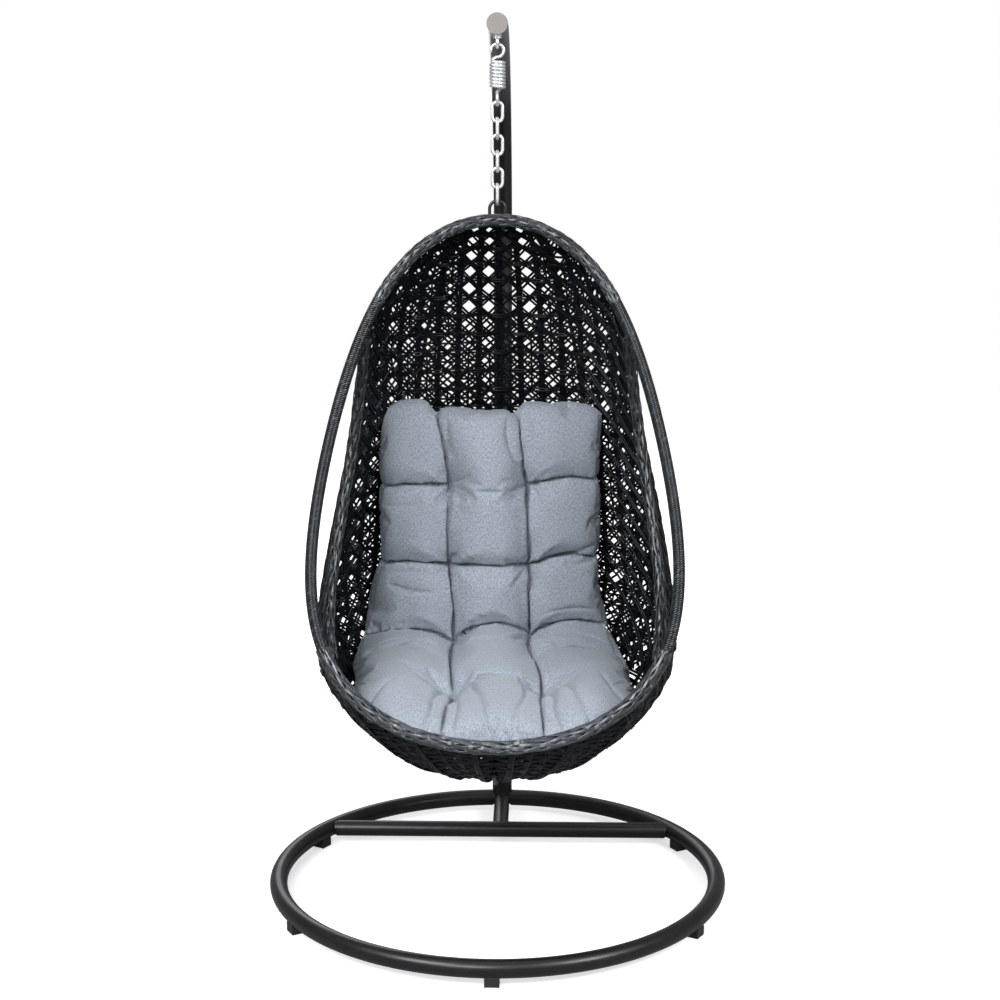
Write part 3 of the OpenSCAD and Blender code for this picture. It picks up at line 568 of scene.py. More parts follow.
def upright_strands():
    """Three strands up every column; under the seat every second, then every fourth column runs on.
    Single fillers run half-way between the columns, in some of the rows."""
    samples = int(WAY_TOP / SAMPLE)
    t = np.linspace(chart_rows[0], WAY_TOP + 0.004, samples)[None, :]
    parts = []
    for every, low in ((4, 0.035), (2, 0.075), (1, 0.15)):
        k = np.arange(-COLUMNS_ASIDE, COLUMNS_ASIDE)
        k = k[(k % every == 0) & ((k % (every * 2) != 0) | (every == 4))]
        for shift in (-1, 0, 1):
            n = len(k)
            column = np.broadcast_to(k[:, None], (n, samples)).astype(float)
            way = np.broadcast_to(t, (n, samples))
            lift = 0.0008 * np.sin(way / ROW * math.pi + k[:, None]) + 0.0006 * shift
            across = wander(n, samples, UPRIGHT_DRIFT) + shift * UPRIGHT_GAP
            parts.append(weave(column, way, lift, across, UPRIGHT_R, low, NO_END))
    k = np.arange(1 - COLUMNS_ASIDE, COLUMNS_ASIDE)[:, None] + 0.5
    column, way = np.broadcast_arrays(k, t)
    shown = (chance(k, np.floor(way / ROW) + 90) < 0.5) & in_filled(column, way)
    lift = 0.002 * np.cos(way / ROW * math.pi)
    across = wander(len(k), samples, FILLER_DRIFT)
    parts.append(weave(column, way, lift, across, UPRIGHT_FILLER_R, LOW_WAY, NO_END, shown))
    return joined(parts)


def level_strands():
    """Pairs of strands round every row, in front of and behind the uprights in turn. Under the seat they
    lie nearly three times as close and wrap the uprights nearly flat. Single fillers run half-way between
    the rows, in some of the columns."""
    samples = int(2 * HALF_MOST / SAMPLE)
    k = np.linspace(-COLUMNS_ASIDE, COLUMNS_ASIDE, samples)[None, :]
    parts = []
    open_rows = np.arange(1, int(WAY_TOP / ROW) + 1) * ROW
    close = LOW_WAY / round(LOW_WAY / (ROW * CLOSE_SHARE))
    close_rows = np.arange(2, round(LOW_WAY / close)) * close
    for rows, weave_lift in ((open_rows[open_rows > LOW_WAY - 0.01], 0.0034), (close_rows, 0.0014)):
        number = np.arange(len(rows))[:, None]
        way = rows[:, None] + 0 * k
        column = np.broadcast_to(k, way.shape)
        lift = weave_lift * np.cos(math.pi * (column + number))
        for shift in (-1, 1):
            across = wander(len(rows), samples, LEVEL_DRIFT) + shift * LEVEL_GAP
            parts.append(weave(column, way, lift, across, STRAND_R, 0.02, NO_END))
    rows = np.arange(int(LOW_WAY / ROW) + 1, int(WAY_TOP / ROW)) + 0.5
    way = rows[:, None] * ROW + 0 * k
    column = np.broadcast_to(k, way.shape)
    shown = (chance(np.floor(column), rows[:, None] + 40) < 0.62) & in_filled(column, way)
    lift = 0.002 * np.sin(math.pi * column)
    across = wander(len(rows), samples, FILLER_DRIFT)
    parts.append(weave(column, way, lift, across, STRAND_R, LOW_WAY, NO_END, shown))
    return joined(parts)


def in_filled(column, way):
    """Where the wall is filled with extra strands: all but a few columns at the top of the back's
    middle."""
    return (way < FILL_WAY) | (np.abs(column) > OPEN_COLUMNS)


def chance(a, b):
    """A steady random number between 0 and 1 for each pair of whole numbers."""
    return np.abs(np.modf(np.sin(a * 12.9898 + b * 78.233) * 43758.5453)[0])


def slanted_strands(lean, through_nodes):
    """Strands that climb one row for each column, to the right where lean is 1 and to the left where it
    is -1. Pairs pass half-way between the crossings and leave diamond openings. Where through_nodes is
    true they are fillers that run through the crossings: single ones in most cells of the filled part,
    with a second one in half of the cells beyond the sixth column."""
    samples = int(WAY_TOP / SAMPLE * 1.35)
    way = np.linspace(0.1, WAY_TOP, samples)[None, :]
    n = np.arange(-SLANTS_ASIDE, SLANTS_ASIDE + 1)[:, None] + (0.0 if through_nodes else 0.5)
    column = lean * (way / ROW - round(WAY_TOP / ROW / 2)) + n
    way = np.broadcast_to(way, column.shape)
    lift = lean * 0.0026 + 0.0016 * np.cos(math.pi * column)
    strands = [(-SLANT_GAP, True), (SLANT_GAP, True)]
    if through_nodes:
        lift = -0.6 * lift + 0.001
        cell = chance(np.floor(column), np.floor(way / ROW))
        aside = np.abs(column)
        strands = [(0.0, (cell < 0.9 + 0.1 * (aside > 4)) & in_filled(column, way)),
                   (FILLER_GAP, (cell < 0.5) & (aside > 6))]
    parts = []
    for gap, shown in strands:
        across = wander(len(n), samples, SLANT_DRIFT) + gap
        parts.append(weave(column, way, lift, across, STRAND_R, LOW_WAY - 0.01, NO_END, shown))
    return joined(parts)


uprights = make_mesh("weave_uprights", *upright_strands())
finished(uprights, weave_finish, "black_rattan", "basket", "woven_shell")
for weave_name, strands in (("weave_levels", level_strands()),
                            ("weave_right_slants", slanted_strands(1, False)),
                            ("weave_left_slants", slanted_strands(-1, False)),
                            ("weave_right_fillers", slanted_strands(1, True)),
                            ("weave_left_fillers", slanted_strands(-1, True))):
    finished(make_mesh(weave_name, *strands), weave_finish, "black_rattan", "basket")


# ---------------------------------------------------------------- rims
# Radii of the hoop's and the rails' cores and of the strands' middle round them.
HOOP_CORE_R, TOP_BRAID_R, LIP_BRAID_R, ARM_WINDING_R = 0.0112, 0.0118, 0.0134, 0.0116
RAIL_CORE_R, RAIL_BRAID_R = 0.0095, 0.0108
FLAT_THICK = 0.0026
# The hoop's and the rail's outer radii and the clearance between them in the part's source.
HOOP_WRAP_R, RAIL_R, RAIL_CLEAR = 0.0127, 0.012, 0.0003


def even_path(points, gap):
    """The same path with its points an equal way apart, and the way along at each of them."""
    way = np.concatenate([[0], np.cumsum(np.linalg.norm(np.diff(points, axis=0), axis=-1))])
    at = np.linspace(0, way[-1], max(8, int(way[-1] / gap)))
    return np.stack([np.interp(at, way, points[:, k]) for k in range(3)], -1), at


def round_path(points):
    """Two directions square to a path, the first as near to the basket's open front as it can be."""
    way = unit(np.gradient(points, axis=0))
    forward = np.array([0.0, -1.0, 0.0])
    front = unit(forward - way * (way @ forward)[:, None])
    return front, np.cross(way, front)


def wound(points, radius, strands, turn_length, wide, weave_lift=0.0, gap=0.005):
    """Flat strands wound round a path: strand i starts i shares of a turn on and turns once in
    turn_length, backwards where that is negative. weave_lift lifts and sinks it where it crosses the
    strands that turn the other way."""
    path, at = even_path(points, gap)
    front, cross = round_path(path)
    i = np.arange(strands)[:, None]
    angle = 2 * math.pi * (at[None, :] / turn_length + i / strands)
    parity = np.pi * i + strands * 2 * np.pi * at[None, :] / abs(turn_length)
    lift = weave_lift * np.cos(parity) * np.sign(turn_length)
    out = np.cos(angle)[..., None] * front + np.sin(angle)[..., None] * cross
    line = path[None] + out * (radius + lift)[..., None]
    side, out = path_frames(line, out)
    return tubes(hung(line), side, out, wide / 2, FLAT_THICK / 2, 6)


def braid(points, radius, strands=7, slant=12.0, wide=0.0094):
    """Two sets of flat strands that run along at a slant, one to each side, each over and under the
    other."""
    turn = 2 * math.pi * radius / math.tan(math.radians(slant))
    return joined([wound(points, radius, strands, way * turn, wide, 0.0009) for way in (1, -1)])


def core(points, radius):
    """A round core under the strands."""
    path, _ = even_path(points, 0.008)
    front, cross = round_path(path)
    return tubes(hung(path[None]), front[None], cross[None], radius, radius, 16)


# A rail starts where the shell's edge has stepped far enough from the hoop to leave room for both.
rail_share = 1.08 * (HOOP_WRAP_R + RAIL_R + RAIL_CLEAR) / math.hypot(GAP_IN, GAP_BACK)
rail_trim = (1 - math.sqrt(1 - rail_share)) / 2


def hoop_turn(above_lip):
    """Where on the hoop's outline a height above the lip lies."""
    return math.acos(2 * above_lip / HOOP_H - 1)


turn_high = hoop_turn(GAP_HIGH - rail_trim * (GAP_HIGH - GAP_LOW))
turn_low = hoop_turn(GAP_LOW + rail_trim * (GAP_HIGH - GAP_LOW))
# The braids end a little inside one another, so that no core shows between them.
TOP_END, ARM_END, LIP_OVER, RAIL_OVER_HIGH, RAIL_OVER_LOW = 0.185, 0.2, 0.02, 0.015, 0.05
STEPS = 601
all_round = hoop_line(np.linspace(-math.pi, math.pi, FINE_STEPS))
top_arc = hoop_line(np.linspace(TOP_END - turn_high, turn_high - TOP_END, STEPS))
low_arc = hoop_line(np.linspace(turn_low - LIP_OVER, 2 * math.pi - turn_low + LIP_OVER, STEPS))
arm_arc = hoop_line(np.linspace(turn_high - ARM_END, turn_low, STEPS))
rail_arc = edge_line(np.linspace(turn_high - RAIL_OVER_HIGH, turn_low + RAIL_OVER_LOW, STEPS))
mirrored = np.array([-1.0, 1.0, 1.0])

hoop_core = make_mesh("hoop_core", *core(all_round, HOOP_CORE_R))
finished(hoop_core, weave_finish, "black_rattan", "basket", "hoop_wrap")
finished(make_mesh("hoop_braid_top", *braid(top_arc, TOP_BRAID_R)), top_finish, "black_rattan", "basket")
finished(make_mesh("hoop_braid_lip", *braid(low_arc, LIP_BRAID_R)), lip_finish, "black_rattan", "basket")
for side_name, arm_line in (("right", arm_arc), ("left", arm_arc * mirrored)):
    winding = wound(arm_line, ARM_WINDING_R, 9, turn_length=0.046, wide=0.0048, gap=0.003)
    made = make_mesh("hoop_winding_" + side_name, *winding)
    finished(made, rim_finish, "black_rattan", "basket")
for rail_name, rail_line in (("right", rail_arc), ("left", rail_arc * mirrored)):
    made = make_mesh("rail_core_" + rail_name, *core(rail_line, RAIL_CORE_R))
    finished(made, weave_finish, "black_rattan", "basket", "side_rail_" + rail_name)
    made = make_mesh("rail_braid_" + rail_name, *braid(rail_line, RAIL_BRAID_R, strands=6))
    finished(made, rim_finish, "black_rattan", "basket")


# ---------------------------------------------------------------- ribs behind the weave
RIB_R, RIB_CLEAR = 0.0045, 0.0012
SIDE_RIB_TURN = math.radians(36)


def rib_tube(d):
    """A steel rib that follows the wall's outside along the directions d. The way out is square to the
    line and to the nudge from it to the line beside it."""
    place, _ = wall_place(d)
    nudge = 0.01
    c, s = math.cos(nudge), math.sin(nudge)
    beside, _ = wall_place(unit(d @ np.array([[c, s, 0], [-s, c, 0], [0, 0, 1]])))
    out = unit(np.cross(np.gradient(place, axis=0), beside - place))
    out *= np.sign(((place - BELLY) * out).sum(-1, keepdims=True))
    line = (place + out * (SHELL_T / 2 + RIB_R + RIB_CLEAR))[None]
    side, up = path_frames(line, out[None])
    return tubes(hung(line), side, up, RIB_R, RIB_R, 14)


# Turns from straight up at which the ribs start and end.
side_down = np.radians(np.linspace(9, 160, 160))
side_ray = np.stack([math.sin(SIDE_RIB_TURN) * np.sin(side_down), math.cos(SIDE_RIB_TURN) * np.sin(side_down),
                     np.cos(side_down)], -1)
middle_down = np.radians(np.linspace(12, 222, 220))
middle_ray = np.stack([0 * middle_down, np.sin(middle_down), np.cos(middle_down)], -1)
for rib_name, rib_ray, cad_rib in (("rib_middle", middle_ray, "back_rib_centre"),
                                   ("rib_right", side_ray, "back_rib_right"),
                                   ("rib_left", side_ray * mirrored, "back_rib_left")):
    finished(make_mesh(rib_name, *rib_tube(rib_ray)), steel, "black_steel", "basket", cad_rib)

# ---------------------------------------------------------------- spring
COIL_R, HOOK_R, WIRE = 0.0147, 0.0137, 0.0066
TOP_HOOK_Z, LOW_HOOK_Z = 1.897975, 1.797575
COIL_TOP_Z, COIL_LOW_Z, COIL_TURNS = 1.874775, 1.820775, 7.5
# How strongly the wire's turns from hook to coil keep to the directions of both, and their steps.
PULL, EASE_STEPS = 0.02, 20


def eased(p, dp, q, dq):
    """Points inside a smooth cubic curve from p to q that leaves along dp and arrives along dq."""
    t = np.linspace(0, 1, EASE_STEPS + 1)[1:-1, None]
    return (p * (2 * t ** 3 - 3 * t ** 2 + 1) + dp * (t ** 3 - 2 * t ** 2 + t) + q * (3 * t ** 2 - 2 * t ** 3)
            + dq * (t ** 3 - t ** 2))


def spring_line():
    """Upper hook in the front plane, a close coil, and a lower hook in the side plane, as one line."""
    g = np.radians(180 - 270 * np.linspace(0, 1, 37))
    top = np.stack([HOOK_R * np.cos(g), 0 * g, TOP_HOOK_Z + HOOK_R * np.sin(g)], -1)
    a = np.radians(225 + 360 * COIL_TURNS * np.linspace(0, 1, 241))
    coil = np.stack([COIL_R * np.cos(a), COIL_R * np.sin(a), np.linspace(COIL_TOP_Z, COIL_LOW_Z, 241)], -1)
    h = np.radians(90 + 270 * np.linspace(0, 1, 37))
    low = np.stack([0 * h, HOOK_R * np.cos(h), LOW_HOOK_Z + HOOK_R * np.sin(h)], -1)
    into = np.array([-math.sin(a[0]), math.cos(a[0]), 0]) * PULL
    away = np.array([-math.sin(a[-1]), math.cos(a[-1]), 0]) * PULL
    top_turn = eased(top[-1], np.array([-PULL, 0, 0]), coil[0], into)
    low_turn = eased(coil[-1], away, low[0], np.array([0, -PULL, 0]))
    rise = np.array([[0, 0, WIRE]])
    return np.concatenate([top[:1] - rise, top, top_turn, coil, low_turn, low, low[-1:] + rise])


def carried_frames(line):
    """Directions square to a line, each turned from the last by the least angle."""
    way = unit(np.gradient(line, axis=0))
    side = np.zeros_like(line)
    side[0] = unit(np.cross(way[0], [0.3, 1.0, 0.2]))
    for i in range(1, len(line)):
        side[i] = unit(side[i - 1] - way[i] * (side[i - 1] @ way[i]))
    return side, np.cross(side, way)


coil_line = spring_line()
coil_side, coil_out = carried_frames(coil_line)
spring_tube = tubes(hung(coil_line[None]), coil_side[None], coil_out[None], WIRE / 2, WIRE / 2, 14)
spring = finished(make_mesh("tension_spring", *spring_tube), zinc, "zinc_steel", None, "spring")
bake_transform(spring)

# ---------------------------------------------------------------- cushion
# A place on the cushion is x across, positive to the right, and d along its middle line from the top edge.
PAD_T, BACK_HALF, SEAT_HALF = 0.112, 0.252, 0.308
BACK_L, BEND_R, SEAT_L = 0.45, 0.15, 0.388
TILT, HEADING = math.radians(3.5), math.radians(86)
PAD_TOP_Y, PAD_TOP_Z = 0.2012, LIP_Z + 0.6132
BEND_L = BEND_R * (HEADING - TILT)
PAD_L = BACK_L + BEND_L + SEAT_L
# Four rows of two tufts: their distance from the middle, their ways along, and how far the left and the
# right one of each row are sewn off their places, across and along.
ROWS = 4
TUFT_X = 0.086
TUFT_AT = np.array([0.157, 0.337, 0.506, 0.75]) * PAD_L
TUFT_SHIFT = ((-0.012, 0.002), (-0.011, -0.003), (-0.003, 0.009), (-0.010, 0.014))
TUFT_STEP = ((0.0, 0.0), (0.0, 0.0), (0.008, -0.01), (0.0, 0.0))
# Where the two lengthways valleys meet the top edge and how far they are off their last tufts at the
# front edge, and for each row the bow of the valley between its tufts and its rise outside the left and
# the right one.
TOP_DIPS = (-0.128, 0.056)
FRONT_SHIFT = (-0.012, 0.004)
MIDDLE_BOW = (0.012, -0.004, -0.03, -0.016)
OUTER_RISE = ((0.004, 0.022), (0.012, 0.03), (0.022, 0.036), (0.0, 0.0))
# How strongly each row's valley is drawn in outside its tufts and between them.
OUTER_PULL, MIDDLE_PULL = (0.85, 0.95, 0.9, 0.0), (0.12, 0.8, 0.85, 0.3)
SUNK = 0.064
# Depth of a fold at its bottom, and the distance at which 1 / e of it is left: valleys, pleats, wrinkles.
VALLEY_DEPTH, PLEAT_DEPTH, WRINKLE_DEPTH = 0.011, 0.0115, 0.0105
VALLEY_WIDTH, PLEAT_WIDTH, WRINKLE_WIDTH = 0.0042, 0.0046, 0.0055
# Pleats from the last row of tufts to the front edge: x at the tufts, slope, strength.
PLEATS = ((-0.108, -0.16, 1.0), (-0.083, 0.0, 0.8), (-0.062, 0.2, 1.0), (0.078, -0.14, 0.9),
          (0.112, 0.1, 0.9), (0.135, 0.3, 1.0), (-0.2, -0.4, 0.6), (0.21, 0.45, 0.6))
# Wrinkles from one place to another: x and d of both, bow, strength.
WRINKLES = ((-0.24, 0.395, -0.13, 0.415, 0.006, 1.0), (-0.24, 0.375, -0.15, 0.37, -0.004, 0.6),
            (0.13, 0.33, 0.24, 0.30, 0.004, 0.8), (0.17, 0.345, 0.25, 0.335, 0.008, 0.9),
            (0.12, 0.47, 0.24, 0.455, -0.012, 0.7), (0.12, 0.545, 0.27, 0.555, -0.014, 0.8),
            (0.15, 0.585, 0.28, 0.60, -0.012, 0.6), (-0.29, 0.62, -0.12, 0.60, -0.03, 0.8),
            (0.11, 0.62, 0.29, 0.64, -0.03, 0.9), (-0.25, 0.21, -0.16, 0.20, 0.006, 0.6),
            (0.035, 0.01, 0.07, 0.13, 0.012, 1.0), (0.09, 0.01, 0.082, 0.10, -0.004, 0.7),
            (-0.10, 0.01, -0.092, 0.10, 0.003, 0.7))


def pad_middle(d):
    """The cushion's middle line: straight down the back, round a bend, straight along the seat. Returns
    y, z and the heading, 0 down and a quarter turn forward."""
    h = np.clip(TILT + (HEADING - TILT) * (d - BACK_L) / BEND_L, TILT, HEADING)
    start_y = PAD_TOP_Y - BACK_L * math.sin(TILT)
    start_z = PAD_TOP_Z - BACK_L * math.cos(TILT)
    centre_y, centre_z = start_y - BEND_R * math.cos(TILT), start_z + BEND_R * math.sin(TILT)
    far = np.maximum(0, d - BACK_L - BEND_L)
    y = np.where(d < BACK_L, PAD_TOP_Y - d * math.sin(TILT), centre_y + BEND_R * np.cos(h) - far * np.sin(h))
    z = np.where(d < BACK_L, PAD_TOP_Z - d * math.cos(TILT), centre_z - BEND_R * np.sin(h) - far * np.cos(h))
    return y, z, h


def tuft_places():
    """The sewn tufts as (x, way along): one on each side of the middle in every row."""
    return [(side * TUFT_X + TUFT_SHIFT[row][k], at + TUFT_STEP[row][k])
            for row, at in enumerate(TUFT_AT) for k, side in enumerate((-1, 1))]


def stitch_lines(x, d):
    """The valleys: for each one the distance to it and its strength, first the ROWS crosswise ones and
    then the two lengthways ones. Across, they run from tuft to tuft in a bow and rise outwards from the
    tufts; along, they run from the top edge through the tufts to the front edge."""
    tufts = tuft_places()
    for row in range(ROWS):
        (x0, d0), (x1, d1) = tufts[2 * row], tufts[2 * row + 1]
        t = (x - x0) / (x1 - x0)
        bow = MIDDLE_BOW[row] * 4 * t * (1 - t)
        reach = np.maximum(0, np.maximum(x0 - x, x - x1))
        rise = np.where(x < x0, OUTER_RISE[row][0], OUTER_RISE[row][1])
        outer = -rise * np.sin(np.minimum(1, reach / 0.1) * math.pi / 2) + 0.12 * np.maximum(0, reach - 0.1)
        line = np.where(reach > 0, np.where(x < x0, d0, d1) + outer, d0 + (d1 - d0) * t + bow)
        outer_pull = OUTER_PULL[row] + 0.3 * (row == ROWS - 1) * np.exp(-reach / 0.05)
        yield d - line, np.where(reach > 0, outer_pull, MIDDLE_PULL[row])
    for k in (0, 1):
        at = [0.0] + [tufts[2 * row + k][1] for row in range(ROWS)] + [PAD_L]
        line = [TOP_DIPS[k]] + [tufts[2 * row + k][0] for row in range(ROWS)]
        line = np.interp(d, at, line + [line[-1] + FRONT_SHIFT[k]])
        yield x - line - 0.004 * np.sin(d * 17 + 2 * k), 1.0 - 0.15 * smooth((d - TUFT_AT[-1]) / 0.16)


def drawn_in(x, d):
    """How deep the stitching pulls the front in, as a share: wells at the tufts and round-shouldered
    valleys along the lines. A valley is half a quarter of an ellipse and half a power of the distance; a
    pillow above a crosswise one stays full for longer, and so hangs over it."""
    well, near = np.zeros_like(x), np.zeros_like(x)
    for tx, td in tuft_places():
        r = np.hypot(x - tx, (d - td) * 0.95)
        well = np.maximum(well, np.exp(-(r / 0.02) ** 1.3))
        near = np.maximum(near, np.exp(-(r / 0.055) ** 1.6))
    valley = np.zeros_like(x)
    for number, (gap, strength) in enumerate(stitch_lines(x, d)):
        reach = np.where((gap < 0) & (number < ROWS), 0.05, 0.098)
        shoulder = 0.5 * (1 - np.sqrt(1 - (1 - np.minimum(1, np.abs(gap) / 0.057)) ** 2))
        shoulder = shoulder + 0.5 * (1 - np.minimum(1, np.abs(gap) / reach)) ** 1.7
        valley = np.maximum(valley, shoulder * strength * (0.62 + 0.38 * near))
    return np.minimum(1, well * 0.45 + valley * 0.92)


def creases(x, d):
    """Sharp folds after the cloth has filled out, as heights: along the valleys, short ones that radiate
    from each tuft, the pleats, the wrinkles, and slight lumps all over. A fold's depth falls off as e to
    the minus distance."""
    fold = np.zeros_like(x)
    for gap, strength in stitch_lines(x, d):
        fold = np.minimum(fold, -VALLEY_DEPTH * strength * np.exp(-np.abs(gap) / VALLEY_WIDTH))
    for number, (tx, td) in enumerate(tuft_places()):
        r = np.hypot(x - tx, d - td)
        turn = np.arctan2(d - td, x - tx)
        rays = 0.5 + 0.5 * np.cos(5 * turn + 1.3 * number + 1.1 * np.sin(2 * turn + number))
        fold -= 0.0052 * (1 - rays) ** 3 * smooth(r / 0.022) * np.exp(-(r / 0.05) ** 2)
        fold -= 0.006 * np.exp(-(r / 0.006) ** 2)
    for number, (tx, slope, deep) in enumerate(PLEATS):
        far = d - TUFT_AT[-1]
        line = tx + slope * far + 0.003 * np.sin(far * 40 + number)
        fold -= PLEAT_DEPTH * deep * np.exp(-np.abs(x - line) / PLEAT_WIDTH) * smooth((far - 0.006) / 0.05)
    for x0, d0, x1, d1, bow, deep in WRINKLES:
        way = np.hypot(x1 - x0, d1 - d0)
        along = ((x - x0) * (x1 - x0) + (d - d0) * (d1 - d0)) / way ** 2
        aside = ((x - x0) * (d0 - d1) + (d - d0) * (x1 - x0)) / way - bow * 4 * along * (1 - along)
        ends = np.clip(4 * along * (1 - along), 0, 1) ** 0.5
        fold -= WRINKLE_DEPTH * deep * ends * np.exp(-np.abs(aside) / WRINKLE_WIDTH)
    fold += 0.0018 * np.sin(x * 41 + 2.1 * np.sin(d * 17)) * np.sin(d * 31 + 1.7 * np.sin(x * 23))
    return fold


# Points of the simulated cloth across and along, and how many times finer it is made afterwards.
PAD_A, PAD_V = 69, 127
PAD_FINE = 3
# The simulation's last frame, and how far it may move a point of the front and of the rear.
LAST_FRAME = 20
FRONT_CAP, REAR_CAP = 0.022, 0.004
# What is held meanwhile: the radius at a tuft, the half width of a valley, and how firmly the crosswise
# valleys, the lengthways ones and the rear are held, where 1 is fast.
TUFT_HOLD_R, VALLEY_HOLD = 0.0085, 0.006
CROSS_HOLD, LONG_HOLD, REAR_HOLD = 0.36, 0.32, 0.75


def pad_grid(cols, rows):
    """Way across (-1 to 1) and along (0 to 1) of a grid that is finer towards its edges."""
    s = np.linspace(-1, 1, cols)
    a = 0.5 * s + 0.5 * np.sin(np.pi / 2 * s)
    t = np.linspace(0, 1, rows)
    return np.meshgrid(a, 0.55 * t + 0.45 * (1 - np.cos(np.pi * t)) / 2)


def pad_flat(a, v):
    """The cloth's x and d: the front corners are rounded off, the top dips at the valleys and stands
    higher outside them, the seat widens from the back, and the sides draw in at the crosswise valleys."""
    top = a * BACK_HALF
    dip = (0.012 * np.exp(-((top - TOP_DIPS[0]) / 0.017) ** 2)
           + 0.010 * np.exp(-((top - TOP_DIPS[1]) / 0.017) ** 2))
    lobes = 0.017 * smooth((np.abs(a + 0.14) - 0.33) / 0.12)
    start = dip - 0.009 - lobes - 0.005 * smooth(-a / 0.4) + 0.024 * a ** 10
    end = PAD_L - 0.10 * np.abs(a) ** 4 - 0.003
    d = start + (end - start) * v
    half = BACK_HALF + (SEAT_HALF - BACK_HALF) * smooth((d - BACK_L * 0.8) / (BEND_L + BACK_L * 0.2))
    left_bulge = 0.01 + 0.014 * smooth((d - 0.3) / 0.12) * (1 - smooth((d - 0.5) / 0.15))
    half = half + np.where(a < 0, left_bulge, 0.0)
    for row in range(ROWS - 1):
        for k, side in enumerate((-1, 1)):
            at = TUFT_AT[row] - 0.8 * OUTER_RISE[row][k]
            half = half - 0.009 * np.exp(-np.abs(d - at) / 0.022) * (np.sign(a) == side)
    return a * half, d


def pad_face(a, v, face):
    """One face of the cushion, 1 the front and -1 the rear: half its thickness from the middle line,
    crowned to nothing at the edges, lifted at the sides, and on the front sunk where the stitching draws
    it in."""
    x, d = pad_flat(a, v)
    y, z, h = pad_middle(d)
    soft = np.sqrt(np.maximum(0, 1 - np.abs(a) ** 5)) * np.sqrt(np.maximum(0, 1 - np.abs(2 * v - 1) ** 14))
    seat = smooth((d - BACK_L) / BEND_L)
    lift = 0.029 * a ** 2 * (1 - smooth(d / BACK_L)) + 0.026 * a ** 4 * seat
    full = (PAD_T / 2 - (0.003 if face < 0 else 0.0)) * soft
    off = lift + (full - SUNK * drawn_in(x, d) * soft if face > 0 else -full)
    aside = -0.018 * (1 - smooth((d - 0.55) / 0.3))
    return np.stack([x + aside, y - off * np.cos(h), z + off * np.sin(h)], -1)


def pad_faces(cols, rows):
    """The rear face's point numbers, and the quads of both faces; the rear one shares the front one's edge
    points."""
    front = np.arange(cols * rows).reshape(rows, cols)
    rear = front.copy()
    inner = (rows - 2) * (cols - 2)
    rear[1:-1, 1:-1] = cols * rows + np.arange(inner).reshape(rows - 2, cols - 2)
    return rear, np.concatenate([grid_quads(front)[:, ::-1], grid_quads(rear)])


def finer(grid, times):
    """A grid with more points, on cubic curves through the old ones, first along one way and then the
    other."""
    for axis in (0, 1):
        g = np.moveaxis(grid, axis, 0)
        g = np.concatenate([2 * g[:1] - g[1:2], g, 2 * g[-1:] - g[-2:-1]])
        n = len(g) - 3
        at = np.arange(n * times + 1) / times
        i = np.minimum(at.astype(int), n - 1)
        t = (at - i).reshape(-1, *([1] * (g.ndim - 1)))
        p0, p1, p2, p3 = g[i], g[i + 1], g[i + 2], g[i + 3]
        g = p1 + 0.5 * t * (p2 - p0 + t * (2 * p0 - 5 * p1 + 4 * p2 - p3 + t * (3 * (p1 - p2) + p3 - p0)))
        grid = np.moveaxis(g, 0, axis)
    return grid


def puffed(front, rear, faces, cols, rows):
    """The cushion's cloth blown up by cloth simulation, held at the tufts, less along the valleys, and at
    the rear. No point moves further than the cap."""
    count = cols * rows
    start = np.zeros((count + (rows - 2) * (cols - 2), 3))
    start[:count] = front.reshape(-1, 3)
    start[count:] = rear[1:-1, 1:-1].reshape(-1, 3)
    trial = make_mesh("pad_trial", start, faces)
    a, v = pad_grid(cols, rows)
    x, d = pad_flat(a, v)
    hold = np.zeros(len(start))
    for tx, td in tuft_places():
        hold[:count] = np.maximum(hold[:count], (np.hypot(x - tx, d - td) < TUFT_HOLD_R).ravel())
    for number, (gap, strength) in enumerate(stitch_lines(x, d)):
        share = (CROSS_HOLD if number < ROWS else LONG_HOLD) * strength
        held = (share * (np.abs(gap) < VALLEY_HOLD)).ravel().round(2)
        hold[:count] = np.maximum(hold[:count], held)
    hold[count:] = REAR_HOLD
    group = trial.vertex_groups.new(name="hold")
    for weight in np.unique(hold[hold > 0]):
        group.add(np.flatnonzero(hold == weight).tolist(), float(weight), "REPLACE")
    cloth = trial.modifiers.new("cloth", "CLOTH")
    s = cloth.settings
    s.quality = 5
    s.mass = 0.25
    s.tension_stiffness = s.compression_stiffness = 12
    s.shear_stiffness = 4
    s.bending_stiffness = 0.4
    s.shrink_min = -0.035
    s.use_pressure = True
    s.uniform_pressure_force = 4
    s.effector_weights.gravity = 0
    s.vertex_group_mass = "hold"
    s.pin_stiffness = 1
    cloth.collision_settings.use_collision = False
    for number in range(1, LAST_FRAME + 1):
        scene.frame_set(number)
    made = trial.evaluated_get(bpy.context.evaluated_depsgraph_get()).data
    end = np.zeros(len(start) * 3, np.float32)
    made.vertices.foreach_get("co", end)
    bpy.data.objects.remove(trial)
    scene.frame_set(1)
    move = end.reshape(-1, 3) - start
    size = np.linalg.norm(move, axis=-1, keepdims=True)
    cap = np.full((len(start), 1), FRONT_CAP)
    cap[count:] = REAR_CAP
    return start + move * np.minimum(1, cap / np.maximum(size, 1e-9))


def grid_normals(grid):
    """Directions square to a grid's surface."""
    return unit(np.cross(np.gradient(grid, axis=1), np.gradient(grid, axis=0)))


